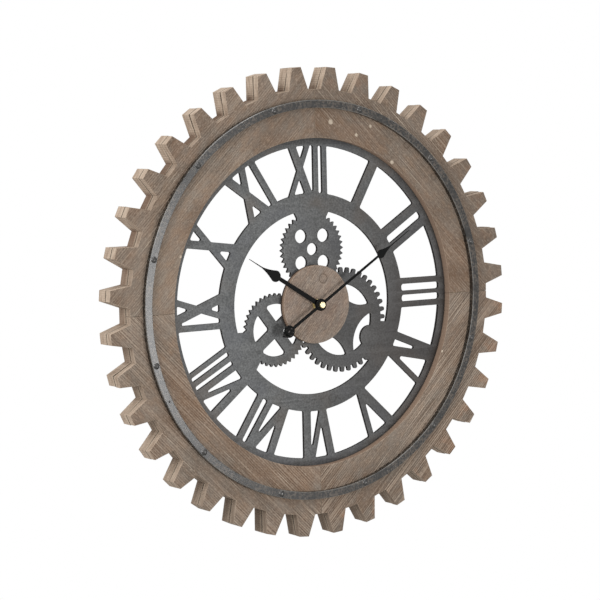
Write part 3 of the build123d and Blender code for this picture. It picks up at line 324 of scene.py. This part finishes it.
# How far a face looks forward or back: 0 is square to the dial, 1 lies flat with it
SIDE_FACING = (0.75, 0.35)
EDGE_FACING_LOW = (0.25, 0.5)
EDGE_FACING_HIGH = (0.98, 0.85)

# Sockets of a colour mix, and the angle in radians that a pattern of lines runs through in one cell
MIX_SHARE = 0
MIX_FIRST = 6
MIX_SECOND = 7
MIX_RESULT = 2
LINE_ANGLE = 20.0


# Shader building blocks


def linear(colour):
    """Scene colour of a 0 to 255 screen colour, by the standard screen curve."""
    parts = [part / 255 for part in colour]
    return [part / 12.92 if part <= 0.04045 else ((part + 0.055) / 1.055) ** 2.4 for part in parts] + [1.0]


def new_material(name):
    """Material with a plain shader on its output."""
    material = bpy.data.materials.new(name)
    material.use_nodes = True
    tree = material.node_tree
    return material, tree, tree.nodes["Principled BSDF"]


def put(tree, socket, value):
    """Links a socket to another one, or sets its own value."""
    if isinstance(value, bpy.types.NodeSocket):
        tree.links.new(value, socket)
    else:
        socket.default_value = value


def surfaced(tree, shader, colour, roughness, specular):
    """Gives a shader its colour, roughness and strength of reflections."""
    put(tree, shader.inputs["Base Color"], colour)
    put(tree, shader.inputs["Roughness"], roughness)
    shader.inputs["Specular IOR Level"].default_value = specular


def raised(tree, shader, height, strength, depth):
    """Bump from a height value."""
    bump = tree.nodes.new("ShaderNodeBump")
    bump.inputs["Strength"].default_value = strength
    bump.inputs["Distance"].default_value = depth * MILLIMETRE
    tree.links.new(height, bump.inputs["Height"])
    tree.links.new(bump.outputs["Normal"], shader.inputs["Normal"])


def cells(tree, size, turn, offset):
    """Place counted in cells of a size along, through and across a direction in the clock's plane."""
    place = tree.nodes.new("ShaderNodeTexCoord")
    mapping = tree.nodes.new("ShaderNodeMapping")
    mapping.vector_type = "TEXTURE"
    mapping.inputs["Location"].default_value = offset
    mapping.inputs["Rotation"].default_value = (0.0, -math.radians(turn), 0.0)
    mapping.inputs["Scale"].default_value = [part * MILLIMETRE for part in size]
    tree.links.new(place.outputs["Object"], mapping.inputs["Vector"])
    return mapping.outputs["Vector"]


def noise(tree, grain, turn=0.0, offset=(0.0, 0.0, 0.0)):
    """Noise with the cells of a grain, turned to a direction."""
    texture = tree.nodes.new("ShaderNodeTexNoise")
    texture.inputs["Scale"].default_value = 1.0
    texture.inputs["Detail"].default_value = grain.detail
    size = (grain.along, grain.through, grain.across)
    tree.links.new(cells(tree, size, turn, offset), texture.inputs["Vector"])
    return texture.outputs["Fac"]


def wood_noise(tree, wood, grain, turn=0.0):
    """Noise that follows the grain of a wood, or a direction a turn away from it."""
    return noise(tree, grain, wood.turn + turn, wood.offset)


def saw_lines(tree, wood):
    """Parallel lines along the grain of a wood."""
    cell = SAW_SPACING * LINE_ANGLE / math.tau
    wave = tree.nodes.new("ShaderNodeTexWave")
    wave.bands_direction = "Z"
    wave.inputs["Scale"].default_value = 1.0
    wave.inputs["Distortion"].default_value = SAW_WANDER
    wave.inputs["Detail"].default_value = SAW_DETAIL
    wave.inputs["Detail Scale"].default_value = SAW_DETAIL_SCALE
    size = (SAW_STRETCH * cell, SAW_STRETCH * cell, cell)
    tree.links.new(cells(tree, size, wood.turn, wood.offset), wave.inputs["Vector"])
    return wave.outputs["Fac"]


def between(tree, value, low, high):
    """Share of the way from low to high, kept within 0 and 1."""
    step = tree.nodes.new("ShaderNodeMapRange")
    step.inputs["From Min"].default_value = low
    step.inputs["From Max"].default_value = high
    tree.links.new(value, step.inputs["Value"])
    return step.outputs["Result"]


def worked(tree, operation, first, second=0.0):
    """Sum, product or other result of two values."""
    step = tree.nodes.new("ShaderNodeMath")
    step.operation = operation
    put(tree, step.inputs[0], first)
    put(tree, step.inputs[1], second)
    return step.outputs[0]


def both(tree, first, second):
    """Product of two shares: high only where both are."""
    return worked(tree, "MULTIPLY", first, second)


def near(tree, value, place, width):
    """1 at a place, 0 from a width away on."""
    apart = worked(tree, "ABSOLUTE", worked(tree, "SUBTRACT", value, place))
    return between(tree, apart, width, 0.0)


def mixed(tree, share, first, second):
    """Colour between two colours."""
    mix = tree.nodes.new("ShaderNodeMix")
    mix.data_type = "RGBA"
    put(tree, mix.inputs[MIX_SHARE], share)
    put(tree, mix.inputs[MIX_FIRST], first)
    put(tree, mix.inputs[MIX_SECOND], second)
    return mix.outputs[MIX_RESULT]


def graded(tree, value, limits, first, second):
    """Colour that goes from one screen colour to another as a value runs between two limits."""
    return mixed(tree, between(tree, value, *limits), linear(first), linear(second))


def laid_on(tree, under, share, strength, colour):
    """Colour laid over another one where the share is high."""
    return mixed(tree, both(tree, share, strength), under, linear(colour))


def layered(tree, under, colour, value, cover, share=1.0):
    """Colour laid over another one as a value runs from a cover's start to where it is full."""
    covered = both(tree, between(tree, value, cover.start, cover.full), share)
    return laid_on(tree, under, covered, cover.strength, colour)


def facing(tree):
    """1 on faces that look forward or back, 0 on faces square to the dial."""
    geometry = tree.nodes.new("ShaderNodeNewGeometry")
    parts = tree.nodes.new("ShaderNodeSeparateXYZ")
    tree.links.new(geometry.outputs["Normal"], parts.inputs["Vector"])
    return worked(tree, "ABSOLUTE", parts.outputs["Y"])


def on_sides(tree):
    """1 on faces square to the dial, 0 on faces that look forward or back."""
    return between(tree, facing(tree), *SIDE_FACING)


def on_edges(tree):
    """1 on eased edges, 0 on the flat faces beside them."""
    share = facing(tree)
    return both(tree, between(tree, share, *EDGE_FACING_LOW), between(tree, share, *EDGE_FACING_HIGH))


def place_from(tree, x, z, depth):
    """Place in millimetres from a point counted from the ring's middle; depth 0 leaves its depth out."""
    place = tree.nodes.new("ShaderNodeTexCoord")
    moved = tree.nodes.new("ShaderNodeVectorMath")
    moved.operation = "MULTIPLY_ADD"
    scale = 1 / MILLIMETRE
    moved.inputs[1].default_value = (scale, depth * scale, scale)
    moved.inputs[2].default_value = (-x, 0.0, -z - RING_HEIGHT * scale)
    tree.links.new(place.outputs["Object"], moved.inputs[0])
    return moved.outputs["Vector"]


def distance_from(tree, x, z):
    """Distance in millimetres in the clock's plane from a point given from the middle of the ring."""
    length = tree.nodes.new("ShaderNodeVectorMath")
    length.operation = "LENGTH"
    tree.links.new(place_from(tree, x, z, 0.0), length.inputs[0])
    return length.outputs["Value"]


def along(tree, axis):
    """Place along an axis in millimetres: Y from front to back, Z upward from the middle of the ring."""
    parts = tree.nodes.new("ShaderNodeSeparateXYZ")
    tree.links.new(place_from(tree, 0.0, 0.0, 1.0), parts.inputs["Vector"])
    return parts.outputs[axis]


# Wood


def toned(tree, wood, tint):
    """Grey-brown stained front of a wood."""
    # the right boards' lower shade is partly painted shade
    tones = {key: [part * wood.shade for part in tone] for key, tone in wood.tones.items()}
    broad = wood_noise(tree, wood, BROAD)
    front = graded(tree, wood_noise(tree, wood, BLOTCH), BLOTCH_RANGE, tones["dark"], tones["mid"])
    front = layered(tree, front, tones["brown"], tint, BROWN_COVER)
    front = layered(tree, front, tones["grey"], tint, GREY_COVER)
    front = layered(tree, front, tones["stain"], broad, STAIN_COVER)
    return layered(tree, front, tones["bare"], broad, BARE_COVER)


def soiled(tree, under, wood):
    """Front with soil beyond the hoop and a warm tint on the teeth."""
    beyond = between(tree, distance_from(tree, 0.0, HOOP_RISE), SOIL_START, SOIL_FULL)
    under = laid_on(tree, under, beyond, wood.soil, LINE_DARK)
    tooth = between(tree, distance_from(tree, 0.0, 0.0), TOOTH_FOOT, TOOTH_FOOT + FOOT_HEIGHT)
    warm = between(tree, wood_noise(tree, wood, WARM), *WARM_RANGE)
    return laid_on(tree, under, both(tree, tooth, warm), wood.warmth, TOOTH_WARM)


def lined(tree, under, wood, saw, streak):
    """Front with saw lines and streaks in patches, flecks and scratches."""
    patch = wood_noise(tree, wood, PATCH, PATCH_TURN)
    sawn = between(tree, patch, *SAW_PATCHES)
    ruled = both(tree, sawn, wood.ruled)
    under = layered(tree, under, LINE_PALE, saw, SAW_PALE_COVER, ruled)
    under = layered(tree, under, LINE_DARK, saw, SAW_DARK_COVER, ruled)
    drawn = both(tree, between(tree, patch, *STREAK_PATCHES), wood.ruled)
    under = layered(tree, under, LINE_PALE, streak, STREAK_PALE_COVER, drawn)
    under = layered(tree, under, LINE_DARK, streak, STREAK_DARK_COVER, drawn)
    fleck = wood_noise(tree, wood, FLECK)
    under = layered(tree, under, LINE_PALE, fleck, FLECK_PALE_COVER)
    under = layered(tree, under, LINE_DARK, fleck, FLECK_DARK_COVER)
    scratch = wood_noise(tree, wood, SCRATCH, SCRATCH_TURN)
    return layered(tree, under, SCRATCH_PALE, scratch, SCRATCH_COVER, sawn)


def marked(tree, under):
    """Front with small pale chips, the faint outlines of plugs, darker smudges and a painted pool of light
    on the left.
    """
    edge = noise(tree, CHIP_EDGE)
    for x, z, radius in CHIPS:
        ragged = worked(tree, "ADD", distance_from(tree, x, z), both(tree, edge, radius))
        chip = between(tree, ragged, CHIP_START * radius, CHIP_FULL * radius)
        under = laid_on(tree, under, chip, CHIP_STRENGTH, SCRATCH_PALE)
    for x, z, radius in PLUGS:
        plug = near(tree, distance_from(tree, x, z), radius, PLUG_LINE)
        under = laid_on(tree, under, plug, PLUG_STRENGTH, LINE_DARK)
    for x, z, radius in SMUDGES:
        smudge = between(tree, distance_from(tree, x, z), radius, 0.0)
        under = laid_on(tree, under, smudge, SMUDGE_STRENGTH, LINE_DARK)
    # painted light: paler on the left, where more light falls
    for x, z, radius in LEFT_PAINTED_LIGHT:
        spot = between(tree, distance_from(tree, x, z), radius, 0.0)
        under = laid_on(tree, under, spot, LEFT_PAINTED_LIGHT_STRENGTH, LINE_PALE)
    return under


def tooth_side(tree, wood, radius, level):
    """Paler side of the teeth with painted shade at their foot, on the lower teeth and in the upper
    recesses.
    """
    side = graded(tree, wood_noise(tree, wood, SIDE_GRAIN), SIDE_RANGE, EDGE_DARK, EDGE_PALE)
    # painted shade at the foot of the teeth
    root = between(tree, radius, TOOTH_FOOT + FOOT_HEIGHT, TOOTH_FOOT)
    side = laid_on(tree, side, root, ROOT_SHADE_STRENGTH, FLANK_SHADE)
    height = along(tree, "Z")
    # painted shade on the lower teeth
    side = laid_on(tree, side, between(tree, height, *LOW_SHADE_HEIGHTS), LOW_SHADE_STRENGTH, FLANK_SHADE)
    # painted shade at the foot of the back layer, stronger higher up
    behind = between(tree, level, SEAM_LEVEL - SEAM_WIDTH, SEAM_LEVEL + SEAM_WIDTH)
    upper = between(tree, height, *RECESS_SHADE_HEIGHTS)
    recess = both(tree, both(tree, root, behind), upper)
    return laid_on(tree, side, recess, RECESS_SHADE_STRENGTH, RECESS_SHADE)


def seamed(tree, under, wood, level):
    """Side with the broken seam between the two layers and a painted highlight on the lips beside it."""
    broken = between(tree, wood_noise(tree, wood, SEAM_BREAKS), *SEAM_BREAK_RANGE)
    # painted highlight on the layers' edges beside the seam
    lip = both(tree, near(tree, level, SEAM_LEVEL, LIP_WIDTH), broken)
    under = laid_on(tree, under, lip, LIP_STRENGTH, PALE_WEAR_AND_HIGHLIGHT)
    gap = between(tree, near(tree, level, SEAM_LEVEL, SEAM_WIDTH), 0.0, SEAM_SHARPNESS)
    return laid_on(tree, under, both(tree, gap, broken), SEAM_STRENGTH, SEAM_DARK)


def bore_side(tree, radius, level):
    """Stained side of the ring's bore and of the disc, with painted shade towards the dial."""
    # painted shade towards the dial
    bore = graded(tree, level, (DIAL_LEVEL - BORE_SHADE_WIDTH, DIAL_LEVEL), BORE_STAIN, BORE_SHADE)
    disc_levels = (DIAL_LEVEL - DISC_SHADE_WIDTH, DIAL_LEVEL - DISC_SHADE_WIDTH / 2)
    disc = graded(tree, level, disc_levels, BORE_STAIN, DISC_RIM_SHADE)
    return mixed(tree, between(tree, radius, 2 * DISC_RADIUS, DISC_RADIUS), bore, disc)


def wood_side(tree, wood):
    """Sides of the teeth, or of the bore and the disc further in."""
    radius = distance_from(tree, 0.0, 0.0)
    level = along(tree, "Y")
    tooth = seamed(tree, tooth_side(tree, wood, radius, level), wood, level)
    return mixed(tree, between(tree, radius, *BORE_RADII), tooth, bore_side(tree, radius, level))


def sawn_wood(name, wood):
    """Grey-brown stained wood with saw lines along its grain, paler tooth sides and worn edges."""
    material, tree, shader = new_material(name)
    tint = wood_noise(tree, wood, TINT)
    streak = wood_noise(tree, wood, STREAK)
    saw = saw_lines(tree, wood)
    front = soiled(tree, toned(tree, wood, tint), wood)
    front = marked(tree, lined(tree, front, wood, saw, streak))
    colour = mixed(tree, on_sides(tree), front, wood_side(tree, wood))
    colour = layered(tree, colour, PALE_WEAR_AND_HIGHLIGHT, tint, WORN_COVER, on_edges(tree))
    surfaced(tree, shader, colour, WOOD_ROUGHNESS, WOOD_SPECULAR)
    raised(tree, shader, worked(tree, "ADD", saw, streak), *WOOD_BUMP)
    return material


# Metal, paint and plastic


def hoop_metal():
    """Dark forged strip with pale specks and pale edges, partly wear and partly painted highlight."""
    material, tree, shader = new_material("hoop_metal")
    fine = noise(tree, HOOP_FINE)
    broad = noise(tree, HOOP_BROAD)
    share = both(tree, between(tree, fine, *HOOP_FINE_RANGE), between(tree, broad, *HOOP_BROAD_RANGE))
    face = mixed(tree, share, linear(HOOP_DARK), linear(HOOP_PALE))
    face = layered(tree, face, HOOP_SPECK, noise(tree, SPECK, offset=SPECK_OFFSET), SPECK_COVER)
    # pale edges, partly wear and partly painted highlight
    face = layered(tree, face, HOOP_EDGE_WEAR_AND_HIGHLIGHT, broad, HOOP_EDGE_WEAR_AND_HIGHLIGHT_COVER, on_edges(tree))
    surfaced(tree, shader, face, HOOP_ROUGHNESS, HOOP_SPECULAR)
    raised(tree, shader, fine, *HOOP_BUMP)
    return material


def shaded_and_dented(tree, under):
    """Face of the dial with painted shade to the right and on the rim, and the outline of a dent."""
    # painted shade to the right and on the rim
    under = layered(tree, under, DIAL_SHADE_AND_MARK, distance_from(tree, *DIAL_SHADE_PLACE), DIAL_SHADE_COVER)
    under = layered(tree, under, DIAL_SHADE_AND_MARK, distance_from(tree, 0.0, 0.0), RIM_SHADE_COVER)
    dent = near(tree, distance_from(tree, *DENT_PLACE), DENT_RADIUS, DENT_LINE)
    return laid_on(tree, under, dent, DENT_STRENGTH, DIAL_SHADE_AND_MARK)


def dial_sheet():
    """Dark grey sheet with faint rust and painted shade, its cut sides darker and duller."""
    material, tree, shader = new_material("dial_sheet")
    fine = noise(tree, DIAL_FINE)
    cloud = noise(tree, DIAL_CLOUD, offset=DIAL_CLOUD_OFFSET)
    broad = noise(tree, DIAL_BROAD, offset=DIAL_BROAD_OFFSET)
    face = graded(tree, fine, DIAL_FINE_RANGE, DIAL_DARK, DIAL_PALE)
    face = layered(tree, face, DIAL_DARK, cloud, DIAL_CLOUD_COVER)
    face = layered(tree, face, DIAL_RUST, broad, DIAL_RUST_COVER)
    face = layered(tree, face, DIAL_BLUE, broad, DIAL_BLUE_COVER)
    side = on_sides(tree)
    colour = mixed(tree, side, shaded_and_dented(tree, face), linear(DIAL_EDGE))
    colour = laid_on(tree, colour, on_edges(tree), DIAL_EDGE_STRENGTH, DIAL_EDGE)
    duller = both(tree, side, DIAL_SIDE_ROUGHNESS - DIAL_ROUGHNESS)
    surfaced(tree, shader, colour, worked(tree, "ADD", duller, DIAL_ROUGHNESS), DIAL_SPECULAR)
    raised(tree, shader, fine, *DIAL_BUMP)
    return material


def hand_paint():
    """Black paint with pale crazing on the counterweight, partly painted highlight."""
    material, tree, shader = new_material("hand_black")
    crack = noise(tree, CRACK)
    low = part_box("minute_hand")[0]
    middle_x = low.x / MILLIMETRE + WEIGHT_INSET
    middle_z = (low.z - RING_HEIGHT) / MILLIMETRE + WEIGHT_INSET
    apart = distance_from(tree, middle_x, middle_z)
    weight = between(tree, apart, WEIGHT_INSET + WEIGHT_BLUR, WEIGHT_INSET - WEIGHT_BLUR)
    # pale crazing on the counterweight, partly painted highlight
    colour = layered(tree, linear(HAND_BLACK), WEIGHT_CRAZE_AND_HIGHLIGHT, crack, WEIGHT_CRAZE_AND_HIGHLIGHT_COVER, weight)
    surfaced(tree, shader, colour, HAND_ROUGHNESS, HAND_SPECULAR)
    raised(tree, shader, crack, *HAND_BUMP)
    return material


def plain_finish(name, finish):
    """Even finish with a faint texture."""
    material, tree, shader = new_material(name)
    fine = noise(tree, FINISH_GRAIN)
    full = linear(finish.colour)
    shade = [part * FINISH_SHADE for part in full[:3]] + [1.0]
    put(tree, shader.inputs["Base Color"], mixed(tree, between(tree, fine, *FINISH_RANGE), shade, full))
    shader.inputs["Roughness"].default_value = finish.roughness
    shader.inputs["Metallic"].default_value = finish.metal
    raised(tree, shader, fine, *FINISH_BUMP)
    return material


# Flat pieces with eased edges


def front_loops(name):
    """Closed outlines of a node's front face, as points in the clock's plane."""
    mesh = NODES[name].data
    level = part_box(name)[0].y + LEVEL_GAP
    steps = set()
    for face in mesh.polygons:
        corners = [mesh.vertices[i].co for i in face.vertices]
        if max(corner.y for corner in corners) < level:
            ring = [(round(corner.x, PLACE_DIGITS), round(corner.z, PLACE_DIGITS)) for corner in corners]
            steps.update(zip(ring, ring[1:] + ring[:1]))
    onward = {start: end for start, end in steps if (end, start) not in steps}
    loops = []
    while onward:
        start = min(onward)
        loop = [start]
        point = onward.pop(start)
        while point != start:
            loop.append(point)
            point = onward.pop(point)
        loops.append(loop)
    return loops


def out_of_line(loops):
    """The same outlines with each tooth turned a little about the middle of the ring."""
    draw = random.Random(WANDER_SEED)
    turns = [math.radians(draw.uniform(-TOOTH_WANDER, TOOTH_WANDER)) for _ in range(TOOTH_COUNT)]
    pitch = math.tau / TOOTH_COUNT
    moved = []
    for loop in loops:
        points = []
        for x, z in loop:
            radius = math.hypot(x, z - RING_HEIGHT)
            angle = math.atan2(x, z - RING_HEIGHT) % math.tau
            rise = max(0.0, (radius - FOOT_RADIUS) / TOOTH_HEIGHT)
            angle += rise * turns[int(angle / pitch) % TOOTH_COUNT]
            points.append((radius * math.sin(angle), RING_HEIGHT + radius * math.cos(angle)))
        moved.append(points)
    return moved


def eased_mesh(name, loops, ease):
    """Mesh between a node's front and back with the given outlines and eased edges."""
    low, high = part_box(name)
    curve = bpy.data.curves.new(name + "_outline", "CURVE")
    curve.dimensions = "2D"
    curve.fill_mode = "BOTH"
    curve.bevel_depth = ease
    curve.bevel_resolution = EDGE_STEPS
    curve.extrude = (high.y - low.y) / 2 - ease
    curve.offset = -ease
    for loop in loops:
        spline = curve.splines.new("POLY")
        spline.points.add(len(loop) - 1)
        for point, (x, z) in zip(spline.points, loop):
            point.co = (x, z, 0.0, 1.0)
        spline.use_cyclic_u = True
    outline = bpy.data.objects.new(name + "_outline", curve)
    mesh = bpy.data.meshes.new_from_object(outline)
    bpy.data.objects.remove(outline)
    mesh.transform(Matrix.Translation((0.0, (low.y + high.y) / 2, 0.0)) @ UPRIGHT)
    return mesh


def smoothed(mesh):
    """Joins the doubled points of a mesh, turns its faces outward and keeps its sharp edges."""
    form = bmesh.new()
    form.from_mesh(mesh)
    bmesh.ops.remove_doubles(form, verts=form.verts, dist=MERGE_GAP)
    bmesh.ops.recalc_face_normals(form, faces=form.faces)
    form.to_mesh(mesh)
    form.free()
    mesh.shade_smooth()
    mesh.set_sharp_from_angle(angle=math.radians(EDGE_ANGLE))
    return mesh


def plate(name, loops, ease, body):
    """Flat piece with eased edges in place of a node."""
    piece = bpy.data.objects.new(name + "_eased", smoothed(eased_mesh(name, loops, ease)))
    bpy.context.scene.collection.objects.link(piece)
    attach(piece, body)
    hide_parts(name)
    return piece


def wear(piece, material):
    """One material for a piece."""
    piece.data.materials.clear()
    piece.data.materials.append(material)


def wooden_front():
    """Four quarter boards and the centre disc."""
    for name, wood in BOARDS.items():
        board = plate(name, out_of_line(front_loops(name)), BOARD_EASE, "frame")
        wear(board, sawn_wood("wood_" + name, wood))
    disc = plate("centre_disc", front_loops("centre_disc"), DISC_EASE, "frame")
    wear(disc, sawn_wood("wood_disc", DISC_WOOD))


def pierced_dial():
    """Dial sheet."""
    wear(plate("dial", front_loops("dial"), DIAL_EASE, "frame"), dial_sheet())


def dress():
    """Materials of the nodes that are shown as they are."""
    wear(NODES["back_ring"], sawn_wood("wood_back", BACK_WOOD))
    wear(NODES["hoop"], hoop_metal())
    paint = hand_paint()
    for name in ("hour_hand", "minute_hand"):
        wear(NODES[name], paint)
    for title, finish in FINISHES.items():
        material = plain_finish(title, finish)
        for name in finish.nodes:
            wear(NODES[name], material)


# Light and camera


def surround():
    """White behind the object and in its reflections, softer light from all round on it."""
    world = bpy.data.worlds.new("surround")
    world.use_nodes = True
    tree = world.node_tree
    soft = tree.nodes["Background"]
    soft.inputs["Strength"].default_value = SURROUND_STRENGTH
    soft.inputs["Color"].default_value = WHITE
    seen = tree.nodes.new("ShaderNodeBackground")
    seen.inputs["Color"].default_value = WHITE
    path = tree.nodes.new("ShaderNodeLightPath")
    shown = worked(tree, "MAXIMUM", path.outputs["Is Camera Ray"], path.outputs["Is Glossy Ray"])
    shown = worked(tree, "MAXIMUM", shown, path.outputs["Is Transmission Ray"])
    mix = tree.nodes.new("ShaderNodeMixShader")
    tree.links.new(shown, mix.inputs[0])
    tree.links.new(soft.outputs[0], mix.inputs[1])
    tree.links.new(seen.outputs[0], mix.inputs[2])
    tree.links.new(mix.outputs[0], tree.nodes["World Output"].inputs[0])
    bpy.context.scene.world = world


def soft_box(name, lamp):
    """Square lamp that faces the middle of the clock."""
    light = bpy.data.lights.new(name, "AREA")
    light.size = lamp.size
    light.energy = lamp.power
    holder = bpy.data.objects.new(name, light)
    middle = Vector((0.0, WOOD_FRONT, RING_HEIGHT))
    holder.location = lamp.place
    holder.rotation_euler = (middle - Vector(lamp.place)).to_track_quat("-Z", "Y").to_euler()
    bpy.context.scene.collection.objects.link(holder)


def pale_floor():
    """Matt pale paint, a little brighter to the camera than its light makes it."""
    material, tree, shader = new_material("pale_floor")
    paint = graded(tree, noise(tree, FLOOR_CLOUD), FLOOR_CLOUD_RANGE, FLOOR_DULL, FLOOR_PALE)
    surfaced(tree, shader, paint, FLOOR_ROUGHNESS, FLOOR_SPECULAR)
    shader.inputs["Emission Color"].default_value = WHITE
    path = tree.nodes.new("ShaderNodeLightPath")
    glow = worked(tree, "MULTIPLY", path.outputs["Is Camera Ray"], FLOOR_GLOW)
    tree.links.new(glow, shader.inputs["Emission Strength"])
    return material


def floor():
    """Plain pale floor well below the clock, which hangs on a wall."""
    mesh = bpy.data.meshes.new("floor")
    reach = FLOOR_SIZE / 2
    corners = [(-reach, -reach, 0.0), (reach, -reach, 0.0), (reach, reach, 0.0), (-reach, reach, 0.0)]
    mesh.from_pydata(corners, [], [(0, 1, 2, 3)])
    ground = bpy.data.objects.new("floor", mesh)
    ground.location = (0.0, 0.0, LOWEST - FLOOR_DROP)
    bpy.context.scene.collection.objects.link(ground)
    wear(ground, pale_floor())


def camera():
    """Camera where the picture was taken from."""
    yaw, tilt, roll = (math.radians(angle) for angle in (VIEW_YAW, VIEW_ELEVATION, VIEW_ROLL))
    back = Vector((math.sin(yaw) * math.cos(tilt), -math.cos(yaw) * math.cos(tilt), math.sin(tilt)))
    level = Vector((math.cos(yaw), math.sin(yaw), 0.0))
    upright = back.cross(level)
    right = math.cos(roll) * level + math.sin(roll) * upright
    up = back.cross(right)
    target = Vector((VIEW_SHIFT_X, WOOD_FRONT, RING_HEIGHT + VIEW_SHIFT_Z))
    data = bpy.data.cameras.new("camera")
    data.lens = LENS
    data.sensor_width = SENSOR
    holder = bpy.data.objects.new("camera", data)
    turn = Matrix((right, up, back)).transposed().to_4x4()
    holder.matrix_world = Matrix.Translation(target + back * VIEW_DISTANCE) @ turn
    bpy.context.scene.collection.objects.link(holder)
    bpy.context.scene.camera = holder


wooden_front()
pierced_dial()
dress()
surround()
for name, lamp in LAMPS.items():
    soft_box(name, lamp)
floor()
camera()
bpy.context.scene.view_settings.view_transform = "Standard"
